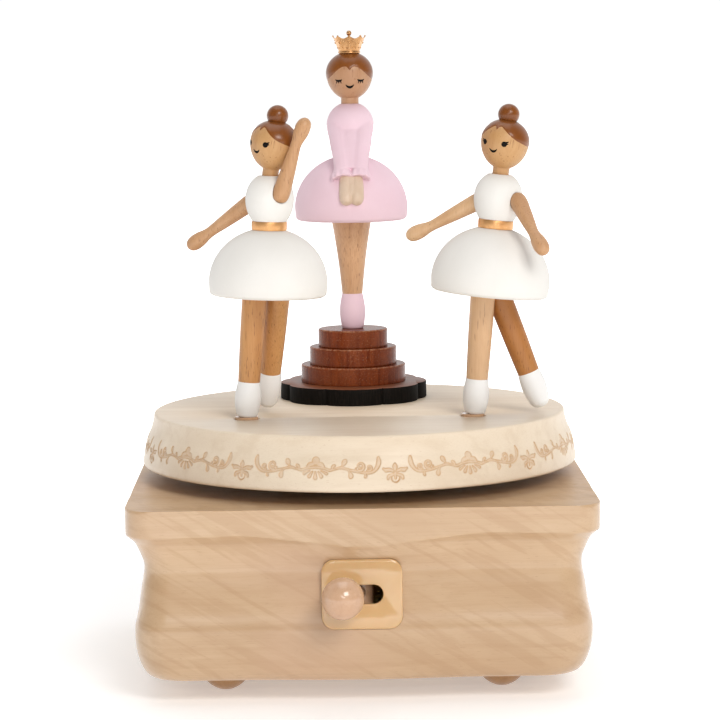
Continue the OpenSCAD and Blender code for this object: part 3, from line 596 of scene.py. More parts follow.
# How far in the side stands, as (depth under the top, inset): cornice, cove, belly and rounded foot
SIDE = [(0.35, 0.22), (0.8, 0.03), (1.4, 0), (4.4, 0), (5.3, 0.3), (6.8, 0.9), (9.7, 2.5), (12.5, 3.55),
        (15.3, 4.3), (18, 4.25), (22, 3.65), (26.5, 3), (31, 2.05), (34, 1.93), (37, 2.15), (40, 2.75),
        (43, 3.85), (44.9, 5.3), (45.46, 7), (DEEP, 8.2)]
# How far the cornice's lower edge swells, as (distance from the side's middle, swelling)
SWELL = ((0, 2.65), (5, 2.55), (10, 2.2), (15, 1.62), (20, 1.0), (26, 0.3), (31, 0), (38, 0.05), (46, 0.25),
         (52, 0.3))
SIDE_STEPS = 96


def between(value, start, end, out=(1, 0)):
    """A straight change from one number to another while the value goes from start to end."""
    return float(np.interp(value, (start, end), out))


def bulge(across, depth):
    """How far the side stands out of its plain profile, less and less below the cornice."""
    out = float(np.interp(abs(across), *zip(*SWELL))) * between(depth, 10, 15, (1, 0.6))
    return out + 0.78 * between(depth, 7, 9)


def recess(across, depth, inset):
    """The plain inset less the swelling, with a fine step where the cornice ends."""
    deep = max(inset - bulge(across, depth), 0)
    if depth <= 4.6:
        return deep
    return deep + 0.28 * (1 - math.exp(-deep / 0.12)) * between(depth, 14, 20)


def box_ring(depth, inset):
    corner = 6.5 + 2.5 * min(1, depth / DEEP)
    flat = HALF - inset - corner
    side = [(HALF - recess(y, depth, inset), y)
            for y in (flat * (2 * i / SIDE_STEPS - 1) for i in range(SIDE_STEPS))]
    side += arc(flat, flat, corner + inset - recess(flat, depth, inset), np.arange(0, 90, 7.5))
    ring = []
    for k in range(4):
        c, s = polar(1, k * math.pi / 2)
        ring += [(x * c - y * s, x * s + y * c + AY, BOX_TOP - depth) for x, y in side]
    return ring


profile = [(0.0, 0.9), (0.1, 0.5)] + spline(SIDE, 7)
rings = [box_ring(min(depth, DEEP), max(inset, 0.0)) for depth, inset in profile]
box = make("box_body_skin", rings_mesh(rings), "case", "box_body", (box_wood,))
PLATE_W, PLATE_H, PLATE_CORNER = 20.8, 18.0, 3.4
BUSH_R = 5.0
LEAN = math.asin(joint["switch_swing"]["axis"][1])
PIVOT = mm(joint["switch_swing"]["pos_m"])
SWITCH = Matrix.Translation(PIVOT) @ Matrix.Rotation(-LEAN, 4, "X") @ shift(0, -8, 0)
floor_z = heights("bedplate")[0]
ceiling_z = heights("shaft_bush")[0]
centre = shift(0, AY)
seat = rounded(PLATE_W + 0.1, PLATE_H + 0.1, PLATE_CORNER)
# The board's pocket, the movement's room, the bush's bore, the plate's seat and the lever's opening
cut(box, [
    (block((-45, AY - 45, BOX_LOW - 3), (45, AY + 45, floor_z)), ORIGIN),
    (lathe([(46, floor_z - 1), (46, ceiling_z)], 120), centre),
    (lathe([(BUSH_R, ceiling_z - 1), (BUSH_R, BOX_TOP + 2)], 48), centre),
    (rings_mesh([[(x, y, z) for x, z in seat] for y in (-4, 2)]), SWITCH),
    (block((-8.1, 1.5, -6.6), (8.1, 18, 6.6)), SWITCH),
])

FOOT_R = 6.8
foot_low, foot_high = corners("ball_feet")
outline = [(1.5, 0), (2.1, 0.06)] + [(FOOT_R * math.cos(a), FOOT_R - 0.2 + FOOT_R * math.sin(a))
                                     for a in np.linspace(-1.20, 0.36, 26)]
outline = [(r, z) for r, z in outline if z < foot_high.z] + [(6.4, foot_high.z)]
ball = lathe(outline, 64)
feet = together([moved(ball, shift(x, y))
                 for x in (foot_low.x + FOOT_R, foot_high.x - FOOT_R)
                 for y in (foot_low.y + FOOT_R, foot_high.y - FOOT_R)])
make("ball_feet_turned", feet, "case", "ball_feet", (shaded_foot_beech,))


# ---- the switch
def plate_loop(inset, y):
    outline = rounded(PLATE_W - 2 * inset, PLATE_H - 2 * inset, max(PLATE_CORNER - inset, 0.4), 14)
    return [(x, y, z) for x, z in outline]


def slot_loop(grow, y):
    half, r = 5.4 + grow, 2.45 + grow
    return [(x, y, z) for x, z in rounded(2 * half, 2 * r, r - 0.01, 14)]


# A moulded plate: its round front edge, its slot with a softer edge, and flat faces front and back
EDGE, SLOT_EDGE = 0.7, 0.3
outer = [plate_loop(0, 2), plate_loop(0, EDGE)]
for a in map(math.radians, (15, 30, 45, 60, 75, 90)):
    outer.append(plate_loop(EDGE * (1 - math.cos(a)), EDGE * (1 - math.sin(a))))
inner = [slot_loop(SLOT_EDGE * (1 - math.sin(a)), SLOT_EDGE * (1 - math.cos(a)))
         for a in map(math.radians, (0, 30, 60, 90))] + [slot_loop(0, 2)]
points, faces = together([rings_mesh(loops, cap=False) for loops in (outer, inner)])
n = len(outer[0])
first_in = n * len(outer)
for ring_out, ring_in, start_out, start_in in (
        (outer[-1], inner[0], n * (len(outer) - 1), first_in),
        (outer[0], inner[-1], 0, first_in + n * (len(inner) - 1))):
    tris = fill([[(p[0], p[2]) for p in ring_out], [(p[0], p[2]) for p in ring_in]])
    faces += [tuple((start_out + i) if i < n else (start_in + i - n) for i in t) for t in tris]
plate_part = (points, faces)
# The frame behind it that guides the lever
frame_part = [block((-8, 2.02, -6.5), (-6.6, 12.5, 6.5)), block((6.6, 2.02, -6.5), (8, 12.5, 6.5)),
              block((-6.6, 2.02, 5), (6.6, 12.5, 6.5)), block((-6.6, 2.02, -6.5), (6.6, 12.5, -5))]
make("switch_plate_moulded", together([plate_part] + frame_part), "case", "switch_plate", (cream,), SWITCH)

low, high = corners("switch_knob")
KNOB = (low + high) / 2
knob_r = (high.x - low.x) / 2
to_knob = along(PIVOT, KNOB)
reach = (KNOB - PIVOT).length
knob = spline([(0.02, reach + knob_r), (2.1, reach + knob_r * 0.925), (3.9, reach + knob_r * 0.69),
               (5.05, reach + knob_r * 0.36), (5.4, reach), (5.05, reach - knob_r * 0.36),
               (3.9, reach - knob_r * 0.69), (2.35, reach - knob_r * 0.90), (1.85, reach - knob_r * 0.94)], 8)
knob = [(max(min(r, knob_r), 0.0), min(z, reach + knob_r)) for r, z in knob]
knob[0] = (0, reach + knob_r)
knob_part = moved(lathe(knob, 72), Matrix.Translation(-KNOB) @ to_knob)
make("switch_knob_turned", knob_part, "switch", "switch_knob", (knob_beech,), Matrix.Translation(KNOB))
stem = [(0, -0.01), (1.7, 0), (1.8, 0.2), (1.8, reach - knob_r * 0.9)]
swing = Matrix.Translation(PIVOT) @ Matrix.Rotation(-LEAN, 4, "X")
hub_part = lathe([(0.8, -6), (0.8, -4.6), (2.8, -4.6), (3.0, -4.4), (3.0, 4.4), (2.8, 4.6), (0.8, 4.6),
                  (0.8, 6)], 48)
lever = together([moved(lathe(stem, 40), swing.inverted() @ to_knob), hub_part])
make("switch_lever_turned", lever, "switch", "switch_lever", (small_beech,), swing)

# ---- the turntable and its scrollwork
REPEATS = 9
AROUND = 2880
CELL = AROUND // REPEATS
FIRST_FLEUR = -90 + 8.2
WIDER = 1.2


def ellipse(at, a, b, n=14):
    """A thin closed stroke round a centre."""
    turns = [2 * math.pi * i / n for i in range(n + 1)]
    return [(at[0] + a * math.cos(t), at[1] + b * math.sin(t), 0.09) for t in turns]


def curl(at, r, start, turns, n=18, wide=0.30):
    """A volute that winds in from radius r."""
    out = []
    for i in range(n + 1):
        t = i / n
        a = math.radians(start + 360 * turns * t)
        x, y = polar(r * (1 - 0.72 * t), a)
        out.append((at[0] + x, at[1] + y, wide * (1 - 0.35 * t)))
    return out


def stroke(points):
    return [tuple(p) for p in spline(points, 5)]


def scroll_half():
    """Strokes of (along, up, half-width) in mm, from the middle flower out to the tall end leaf."""
    return [
        stroke([(2.3, 0.3, 0.22), (3.6, -0.15, 0.28), (5.0, 0.1, 0.20), (6.6, 0.45, 0.26), (8.2, 0.05, 0.2),
                (9.8, -0.35, 0.26), (11.6, -0.75, 0.22), (13.4, -0.9, 0.26), (14.8, -0.55, 0.30),
                (15.8, 0.5, 0.40), (16.25, 1.7, 0.46), (16.2, 2.75, 0.28)]),
        stroke([(6.4, 0.3, 0.18), (7.0, 1.0, 0.2), (7.4, 1.75, 0.50), (7.7, 2.1, 0.34)]),
        stroke([(8.3, 0.1, 0.18), (8.8, -0.7, 0.2), (9.1, -1.55, 0.48), (9.0, -1.95, 0.30)]),
        curl((11.5, 0.75), 1.15, 250, 1.15, wide=0.28),
        curl((13.75, 0.35), 0.80, 240, 1.0, wide=0.24),
        stroke([(4.2, -0.1, 0.16), (4.5, 0.7, 0.30), (4.9, 0.95, 0.26)]),
        stroke([(12.6, -0.95, 0.16), (12.9, -1.6, 0.26), (12.7, -1.9, 0.22)]),
        stroke([(10.2, -0.4, 0.14), (10.4, 0.3, 0.18)]),
    ]


def flower_half():
    return [
        stroke([(0.0, 2.75, 0.30), (0.25, 2.2, 0.60), (0.0, 1.6, 0.50)]),
        stroke([(0.7, 1.3, 0.42), (1.5, 1.15, 0.46), (2.0, 0.75, 0.30)]),
        stroke([(0.0, 0.55, 0.25), (1.0, 0.45, 0.26), (2.3, 0.3, 0.24)]),
        stroke([(0.0, -0.65, 0.18), (0.0, -1.3, 0.26), (0.0, -2.1, 0.42)]),
        stroke([(0.75, -0.6, 0.16), (1.15, -1.1, 0.24), (1.55, -1.75, 0.38)]),
        stroke([(1.5, -0.35, 0.14), (2.2, -0.65, 0.20), (2.9, -1.05, 0.30)]),
    ]


def fleur_half():
    return [
        stroke([(0.0, 1.1, 0.22), (0.0, 0.55, 0.48), (0.0, 0.0, 0.30)]),
        stroke([(0.5, -0.3, 0.3), (1.15, -0.05, 0.36), (1.85, -0.1, 0.42)]),
        stroke([(1.9, -0.1, 0.3), (2.4, 0.2, 0.2)]),
        ellipse((0, -1.65), 0.85, 0.95),
        stroke([(0.4, -1.0, 0.26), (1.3, -1.3, 0.34), (1.5, -1.8, 0.26)]),
        stroke([(0.0, -0.75, 0.34), (0.0, -1.75, 0.24)]),
    ]


def mirrored(strokes):
    return strokes + [[(-x, y, w) for x, y, w in s] for s in strokes]


def depth_field(xs, ys, strokes):
    """Signed distance in mm from every grid point to the nearest stroke's edge."""
    gx, gy = np.meshgrid(xs, ys)
    best = np.full(gx.shape, 9.0)
    for s in strokes:
        for (x1, y1, w1), (x2, y2, w2) in zip(s, s[1:]):
            dx, dy = x2 - x1, y2 - y1
            t = np.clip(((gx - x1) * dx + (gy - y1) * dy) / (dx * dx + dy * dy + 1e-9), 0, 1)
            d = np.hypot(gx - x1 - t * dx, gy - y1 - t * dy) - WIDER * (w1 + (w2 - w1) * t)
            best = np.minimum(best, d)
    return best


RIM = [(56.35, TABLE_TOP - 1.1), (56.5, TABLE_TOP - 1.9), (56.75, TABLE_TOP - 3.0), (57.3, TABLE_TOP - 4.7),
       (58.05, TABLE_TOP - 6.3), (58.6, TABLE_TOP - 8.0), (58.95, TABLE_TOP - 9.6), (59.2, TABLE_TOP - 11.3),
       (59.4, TABLE_TOP - 12.6)]
rim_curve = np.array(spline(RIM, 30))[::-1]
band_z = np.linspace(TABLE_TOP - 11.9, TABLE_TOP - 4.8, 52)
band_r = np.interp(band_z, rim_curve[:, 1], rim_curve[:, 0])
band_middle = TABLE_TOP - 8.25
cell_length = 2 * math.pi * 58.4 / REPEATS
along_cell = (np.arange(CELL) / CELL - 0.5) * cell_length
centred = mirrored(scroll_half()) + mirrored(flower_half())
ends = [[(1.25 * x + cell_length / 2 * e, 1.25 * y - 0.2, w) for x, y, w in s] for e in (-1, 1)
        for s in mirrored(fleur_half())]
edge_distance = depth_field(along_cell, band_z - band_middle, centred + ends)
sunk = 0.20 * np.clip(0.5 - edge_distance / 0.14, 0, 1) + 0.10 * np.exp(-((edge_distance + 0.02) / 0.10) ** 2)
scorch_cell = 0.62 * np.exp(-(edge_distance / 0.13) ** 2) + 0.40 * np.clip(0.5 - edge_distance / 0.1, 0, 1)
scorch_cell = np.clip(scorch_cell, 0, 1)

rings, scorched = [], []
angles = np.radians(FIRST_FLEUR + np.arange(AROUND) * 360 / AROUND)


def table_ring(r, z, burnt=0.0):
    """A ring of the table's outside, with a radius and a scorching that may change round it."""
    r = np.broadcast_to(float(r) if np.isscalar(r) else r, AROUND)
    rings.append(np.column_stack((r * np.cos(angles), r * np.sin(angles), np.full(AROUND, z))))
    scorched.append(np.broadcast_to(burnt, AROUND))


cavity_z = heights("turntable_hub")[1]
lower = [(50, TABLE_Z), (55, TABLE_Z), (58.5, TABLE_Z)] + [
    (58.6 + 0.85 * math.sin(math.radians(a)), TABLE_Z + 0.85 * (1 - math.cos(math.radians(a))))
    for a in (15, 30, 45, 60, 75, 90)] + [(59.42, TABLE_TOP - 12.3)]
for r, z in lower:
    table_ring(r, z)
for j, (r, z) in enumerate(zip(band_r, band_z)):
    table_ring(r - np.tile(sunk[j], REPEATS), z, np.tile(scorch_cell[j], REPEATS))
for z in np.linspace(TABLE_TOP - 4.6, TABLE_TOP - 1.2, 9):
    table_ring(float(np.interp(z, rim_curve[:, 1], rim_curve[:, 0])), z)
for r, z in arc(55.65, TABLE_TOP - 0.7, 0.7, (0, 20, 40, 60, 80, 90)):
    table_ring(r, z)
table_ring(54.9, TABLE_TOP)
FEW = 360
points, faces = rings_mesh([ring.tolist() for ring in rings], cap=False)
burn = np.concatenate(scorched).tolist()


def few_ring(r, z):
    start = len(points)
    points.extend((*polar(r, a), z) for a in angles[::AROUND // FEW])
    burn.extend([0.0] * FEW)
    return start


def gather(many, few):
    """Joins a ring of many points to a ring of few."""
    k = AROUND // FEW
    for i in range(FEW):
        outer_edge = [many + (i * k + q) % AROUND for q in range(k + 1)]
        faces.append(tuple(outer_edge + [few + (i + 1) % FEW, few + i]))


top_ring = few_ring(54.0, TABLE_TOP)
gather(AROUND * (len(rings) - 1), top_ring)
wall_low = few_ring(49.6, TABLE_Z + 0.3)
wall_high = few_ring(49.6, cavity_z)
gather(0, wall_low)
faces += [(wall_low + i, wall_low + (i + 1) % FEW, wall_high + (i + 1) % FEW, wall_high + i)
          for i in range(FEW)]
holes = [DANCER[s].xy - AXIS.xy for s in ("left", "right")]
hole_starts = {}
# The holes' walls just under the top get painted shade, carried in the same values as the scrollwork's scorching
for level, z in (("top", TABLE_TOP), ("edge", TABLE_TOP - 0.25), ("under", cavity_z)):
    for k, h in enumerate(holes):
        hole_starts[level, k] = len(points)
        points += [(h.x + x, h.y + y, z) for x, y, _ in circle(3.75 if level == "top" else 3.5, z, 64)]
        burn += [0.35 if level == "edge" else 0.0] * 64
for k in range(2):
    for upper_level, lower_level in (("top", "edge"), ("edge", "under")):
        a, b = hole_starts[upper_level, k], hole_starts[lower_level, k]
        faces += [(a + i, a + (i + 1) % 64, b + (i + 1) % 64, b + i) for i in range(64)]
for ring_start, level in ((top_ring, "top"), (wall_high, "under")):
    loops = [[tuple(points[ring_start + i][:2]) for i in range(FEW)]]
    ids = [ring_start + i for i in range(FEW)]
    for k in range(2):
        loops.append([tuple(points[hole_starts[level, k] + i][:2]) for i in range(64)])
        ids += [hole_starts[level, k] + i for i in range(64)]
    faces += [tuple(ids[i] for i in t) for t in fill(loops)]
table = make("turntable_engraved", (points, faces), "stage", "turntable", (maple,),
             shift(AXIS.x, AXIS.y), sharp=50)
point_values(table, "scorch_and_shade", burn)

# ---- the pedestal
low, high = corners("pedestal_base")


def scallop(a):
    lobe = 1.5 * abs(math.cos(math.radians(4 * a))) ** 0.6
    return 19.8 + lobe - 0.6 * math.cos(math.radians(2 * a))


plaque_rings = []
for inset, z in ((0.25, low.z), (0, low.z + 0.25), (0, low.z + 1.6), (0.05, low.z + 2.8), (0, high.z - 0.3),
                 (0.1, high.z - 0.1), (0.3, high.z)):
    plaque_rings.append([(*polar(scallop(a) - inset, math.radians(a)), z) for a in np.arange(0, 360, 0.75)])
make("pedestal_base_cut", rings_mesh(plaque_rings), "stage", "pedestal_base", (plaque,),
     shift(PEDESTAL.x, PEDESTAL.y))
tiers, worn_edge = [], []
for k, r in enumerate((14.8, 12.3, 9.8)):
    z0, z1 = PEDESTAL.z + k * TIER_H, PEDESTAL.z + (k + 1) * TIER_H
    outline = [(r - 0.15, z0), (r, z0 + 0.15)] + [(r, z0 + (TIER_H - 0.6) * q) for q in (0.25, 0.5, 0.75, 1)]
    outline += arc(r - 0.42, z1 - 0.42, 0.42, (0, 22, 45, 68, 90))
    outline += [(r - 0.9, z1), (r - 1.8, z1)]
    tiers.append(lathe(outline, 120))
    for i, (q, _) in enumerate(outline):
        worn_edge += [1.0 if 7 <= i <= 9 else 0.0] * 120
tier_obj = make("pedestal_tiers_turned", together(tiers), "stage", "pedestal_tiers", (steps_wood,),
                shift(PEDESTAL.x, PEDESTAL.y))
point_values(tier_obj, "edge", worn_edge)


# ---- turned figures
def egg_outline(r, wide, down, up, low, high, n=36):
    out = []
    for i in range(n + 1):
        z = low + (high - low) * i / n
        h = down if z < wide else up
        out.append((r * math.sqrt(max(0, 1 - ((z - wide) / h) ** 2)), z))
    return out


def skirt_outline(r, top_r, height):
    end = math.acos(top_r / r)
    b = (height - 3.5) / math.sin(end)
    out = [(r - 2.6, 0.35), (r - 1.9, 0.0)] + arc(r - 1.65, 1.6, 1.6, (-90, -72, -54, -38, -24))
    return out + [(r * math.cos(end * i / 40), 3.5 + b * math.sin(end * i / 40)) for i in range(41)]


def swell(r0, r1, out, h, n=24):
    """An outline from one radius to another over a height, swollen or slimmed in between."""
    return [(r0 + (r1 - r0) * i / n + out * math.sin(math.pi * i / n), h * i / n) for i in range(n + 1)]


class Head:
    """An egg on a neck, in its own frame: Z up, the face looks along -Y."""

    def __init__(self, r, wide, down, up, neck_r, base=0.0):
        self.r, self.wide, self.down, self.up, self.neck_r, self.base = r, wide, down, up, neck_r, base
        self.top = wide + up

    def half(self, z):
        return self.down if z < self.wide else self.up

    def radius(self, z):
        return self.r * math.sqrt(max(0.0, 1 - ((z - self.wide) / self.half(z)) ** 2))

    def at(self, azimuth, z, lift=0.0):
        """A point on the surface, azimuth in degrees from the face towards +X."""
        a, r = math.radians(azimuth), self.radius(z)
        p = Vector((r * math.sin(a), -r * math.cos(a), z))
        n = Vector((p.x / self.r ** 2, p.y / self.r ** 2, (z - self.wide) / self.half(z) ** 2)).normalized()
        return p + n * lift, n

    def outline(self, flat_top=None):
        start = self.wide - self.down * math.sqrt(1 - (self.neck_r / self.r) ** 2)
        out = [(self.neck_r, self.base), (self.neck_r, start - 0.2), (self.neck_r + 0.1, start + 0.02)]
        for i in range(1, 49):
            a = math.asin(max(-1, (start - self.wide) / self.down))
            t = a + (math.pi / 2 - a) * i / 48
            z = self.wide + (self.down if t < 0 else self.up) * math.sin(t)
            out.append((self.r * math.cos(t), z))
        out[-1] = (0, self.top)
        if flat_top:
            out = [p for p in out if p[1] < flat_top] + [(self.radius(flat_top), flat_top), (0, flat_top)]
        return out

    def hair(self, line, top=None):
        """A coat of paint thick enough to see, from the crown down to the hairline height line(azimuth)."""
        crown = top or self.top - 0.02
        inner, outer_rings = [], []
        thick, n, steps = 0.11, 180, 30
        for j in range(steps + 1):
            t = j / steps
            ring_out, ring_in = [], []
            for i in range(n):
                az = 360 * i / n
                end = line((az + 180) % 360 - 180)
                bottom = math.asin(max(-1, min(1, (end - self.wide) / self.half(end))))
                highest = math.asin(min(1, (crown - self.wide) / self.up))
                e = highest + (bottom - highest) * t
                z = self.wide + (self.down if e < 0 else self.up) * math.sin(e)
                lift = thick * min(1.0, math.sqrt(max(0, 1 - t)) * 3.2)
                ring_out.append(tuple(self.at(az, z, lift)[0]))
                ring_in.append(tuple(self.at(az, z, -0.12)[0]))
            outer_rings.append(ring_out)
            inner.append(ring_in)
        return rings_mesh(outer_rings + inner[::-1], cap=False) if top else rings_mesh(
            [[(0, 0, self.top + thick)]] + outer_rings + inner[::-1] + [[(0, 0, self.top - 0.12)]], cap=False)

    def mark(self, path, lift=0.05):
        """A painted mark that lies on the head along (azimuth, z, half-width) points."""
        pts = spline(path, 6)
        rings = []
        for i, (az, z, w) in enumerate(pts):
            p, n = self.at(az, z)
            q, _ = self.at(*pts[min(i + 1, len(pts) - 1)][:2])
            o, _ = self.at(*pts[max(i - 1, 0)][:2])
            side = (q - o).normalized().cross(n).normalized()
            w = max(w, 0.012)
            rings.append([tuple(p + side * (w * s) + n * (lift * h)) for s, h in
                          ((-1, -1.2), (-1, 0.2), (-0.75, 0.8), (0, 1), (0.75, 0.8), (1, 0.2), (1, -1.2))])
        return rings_mesh(rings)


def hairline(middle, *points):
    """The hair's lower edge at every azimuth, through points of (azimuth, height over the middle)."""
    curve = np.array(spline([(azimuth, middle + z) for azimuth, z in points], 10))

    def line(az):
        return float(np.interp(abs(az), curve[:, 0], curve[:, 1]))
    return line


def smile(head, *half):
    """A mouth from its middle out along one side, mirrored to the other."""
    return head.mark([(-a, z, w) for a, z, w in half[:0:-1]] + list(half))


def surface_dot(head, az, z, r, lift, tall):
    """A round painted dot on a head."""
    rings = []
    n = 28
    deg = 180 / math.pi / head.r
    for s, h in ((1.0, -1.2), (1.0, 0.2), (0.8, 0.8), (0.4, 1.0)):
        ring = []
        for i in range(n):
            a = 2 * math.pi * i / n
            p, nn = head.at(az + r * s * math.cos(a) * deg, z + r * tall * s * math.sin(a))
            ring.append(tuple(p + nn * lift * h))
        rings.append(ring)
    p, nn = head.at(az, z)
    return rings_mesh(rings + [[tuple(p + nn * lift)]])


# ---- the princess
stage = shift(PEDESTAL.x, PEDESTAL.y, STAGE_Z)
shoe_h = heights("princess_shoe")[1] - STAGE_Z
skirt_z, waist = (z - STAGE_Z for z in heights("princess_skirt"))
neck_z = heights("princess_head")[0] - STAGE_Z
crown_z = heights("princess_crown")[0] - STAGE_Z
shoe = [(2.75, 0), (3.0, 0.15)] + [(r, z) for r, z in swell(3.05, 2.9, 0.65, shoe_h)[1:]]
make("princess_shoe_painted", lathe(shoe), "stage", "princess_shoe", (pink_paint,), stage)
leg = [(2.86, 0.0)] + [(r, z) for r, z in swell(2.88, 5.6, -0.25, skirt_z - shoe_h)[1:]]
make("princess_leg_turned", lathe(leg), "stage", "princess_leg", (leg_wood,),
     stage @ shift(0, 0, shoe_h))
skirt = lathe(skirt_outline(half_width("princess_skirt"), 4.9, waist - skirt_z), 128)
make("princess_skirt_turned", skirt, "stage", "princess_skirt", (pink_paint,), stage @ shift(0, 0, skirt_z))

torso = [(4.3, -0.6), (4.75, 0.0), (4.9, 0.8), (5.05, 2.0), (5.45, 3.8)]
torso += egg_outline(6.6, 9.2, 9, 6.42, 6, 15.1, 30) + [(2.4, 15.1)]
sleeves = []
for x in (-1, 1):
    path = [(x * 3.6, -1.0, waist + 11.2), (x * 3.6, -3.2, waist + 8.2), (x * 3.1, -6.2, waist + 4.4),
            (x * 2.4, -9.4, waist + 0.3), (x * 2.25, -11.2, waist - 2.2), (x * 2.2, -11.75, waist - 3.3)]
    path = [tuple(p) for p in spline(path, 8)]
    radii = np.interp(np.linspace(0, 1, len(path)), [0, 0.1, 0.35, 0.6, 0.8, 0.9, 1.0],
                      [0.9, 2.3, 2.75, 2.65, 2.5, 2.6, 2.8])
    sleeves.append(limb(path, radii))
# A filler between them, so that they meet like one draped shape
middle = [(0, y, z) for _, y, z in path]
sleeves.append(limb(middle, radii * np.linspace(1.0, 0.86, len(path)), squash=1.6))
cuffs = []
for x in (-1, 1):
    d = Vector((-x * 0.06, -0.50, -0.86)).normalized()
    wrist = Vector((x * 2.45, -12.0, waist - 4.1))
    rings_c = []
    for r, z, wave in ((2.3, -0.8, 0), (2.75, -0.2, 0.05), (3.0, 0.4, 0.12), (3.1, 1.0, 0.2),
                       (3.12, 1.6, 0.24), (2.9, 1.95, 0.22), (2.3, 1.8, 0.1), (1.5, 1.4, 0.0)):
        rings_c.append([(*polar(r + wave * math.cos(10 * a + x), a), z)
                        for a in np.linspace(0, 2 * math.pi, 72, endpoint=False)])
    cuffs.append(moved(rings_mesh(rings_c), along(wrist, wrist + d)))
body_part = moved(lathe(torso, 96), shift(0, 0, waist))
bodice = make("princess_bodice_sculpted", together([body_part] + sleeves + cuffs), "stage",
              "princess_bodice", (pink_paint,), stage)
melt(bodice, 0.20, 16)

hands = []
for x, thick, short in ((-1, 1, 0), (1, 1, 0), (0, 0.96, 1.3)):
    start = Vector((x * 1.5, -12.0, waist - 4.2))
    d = Vector((-x * 0.1, -4.6, -8.1)).normalized()
    path = [start + d * (t if t < 7 else t - short)
            for t in (-0.6, 0.4, 1.6, 3.2, 5.2, 7.0, 8.2, 9.0, 9.4, 9.55)]
    hands.append(limb(path, [thick * q for q in (1.3, 1.5, 1.75, 1.9, 2.0, 2.02, 1.85, 1.4, 0.8, 0)], 36))
grip = make("princess_hands_carved", together(hands), "stage", "princess_hands", (peach_wood,), stage)
melt(grip, 0.14, 4)

p_head = Head(6.5, 8.6, 7.5, 5.8, 2.45)
at_head = stage @ shift(0, 0, neck_z)
flat_top = crown_z - neck_z
make("princess_head_turned", lathe(p_head.outline(flat_top)), "stage", "princess_head", (face_wood,),
     at_head, sharp=45)
mid = p_head.wide
line = hairline(mid, (0, 0.75), (3, 1.1), (8, 1.7), (16, 1.75), (24, 1.4), (34, 0.6), (45, -0.3), (58, -1.1),
                (70, -1.6), (85, -1.9), (110, -2.1), (180, -2.4))
make("princess_hair_painted", p_head.hair(line, top=flat_top - 0.02), "stage", None, (hair_paint,), at_head)
marks = []
for x in (-1, 1):
    e, z = x * 29.5, mid - 2.0
    marks.append(p_head.mark([(e - 9.6, z + 0.15, 0.12), (e - 5, z - 0.1, 0.27), (e, z - 0.18, 0.31),
                              (e + 5, z - 0.1, 0.27), (e + 9.6, z + 0.15, 0.12)]))
    for k in (-1, 0, 1):
        marks.append(p_head.mark([(e + k * 5.2, z - 0.15, 0.22), (e + k * 7 + x, z - 0.9, 0.09)]))
marks.append(smile(p_head, (0, mid - 3.98, 0.4), (6.5, mid - 3.75, 0.3), (11.5, mid - 3.25, 0.08)))
make("princess_face_marks", together(marks), "stage", None, (ink,), at_head)

# the crown: two beaded hoops, eight flared leaves, and a ball on a little dome
crown_parts = [lathe([(2.1, 0), (2.95, 0), (3.12, 0.12), (3.15, 0.34), (3.05, 0.55), (2.95, 0.68), (3, 0.85),
                      (2.95, 1.0), (2.45, 1.0)], 72)]


def ball_part(at, r, n=16):
    x, y, z = at
    outline = [(r * math.sin(math.pi * i / 10), z - r * math.cos(math.pi * i / 10)) for i in range(1, 10)]
    return moved(lathe([(0, z - r)] + outline + [(0, z + r)], n), shift(x, y))


LEAVES = 8
around = LEAVES * 16
inner_r, outer_r = [], []
for j in range(15):
    t = j / 14
    ring_o, ring_i = [], []
    for i in range(around):
        a = 2 * math.pi * i / around
        wave_pos = abs(((i / around * LEAVES) % 1) - 0.5) * 2
        height = 4.15 + 0.75 * wave_pos ** 1.6
        z = 0.9 + (height - 0.9) * t
        flare = 2.92 + 0.34 * (z - 0.9) / 1.5 + 0.055 * max(0, z - 1.2) ** 2.0
        vein = 0.10 * math.cos(math.pi * (1 - wave_pos)) * math.sin(math.pi * min(1, t * 1.1))
        ring_o.append((*polar(flare + 0.16 + vein, a), z))
        ring_i.append((*polar(flare - 0.16, a), z))
    outer_r.append(ring_o)
    inner_r.append(ring_i)
crown_parts.append(rings_mesh(outer_r + inner_r[::-1] + [outer_r[0]], cap=False))
# Beads round each leaf, as (angle from its tip, distance out, height, radius)
BEADS = ((0, 4.5, 4.85, 0.24), (math.pi / LEAVES, 3.75, 3.5, 0.26), (0, 3.75, 3.0, 0.32),
         (-0.2, 3.2, 1.6, 0.24), (-0.13, 3.98, 3.7, 0.2), (0.2, 3.2, 1.6, 0.24), (0.13, 3.98, 3.7, 0.2))
for k in range(LEAVES):
    for off, out, z, r in BEADS:
        crown_parts.append(ball_part((*polar(out, 2 * math.pi * k / LEAVES + off), z), r))
dome = [(2.5, 0.6)] + [(2.5 * math.cos(math.radians(t)), 0.9 + 3.4 * math.sin(math.radians(t)))
                       for t in range(0, 81, 10)] + [(0.35, 4.35), (0.33, 4.8), (0.42, 4.95), (0.3, 5.1)]
crown_parts.append(lathe(dome, 64))
crown_parts.append(ball_part((0, 0, 5.68), 0.74, 28))
crown_top = heights("princess_crown")[1] - STAGE_Z - crown_z
points, faces = together(crown_parts)
make("princess_crown_cast", ([(x, y, min(z, crown_top)) for x, y, z in points], faces), "stage",
     "princess_crown", (crown_gold,), stage @ shift(0, 0, crown_z), sharp=50)

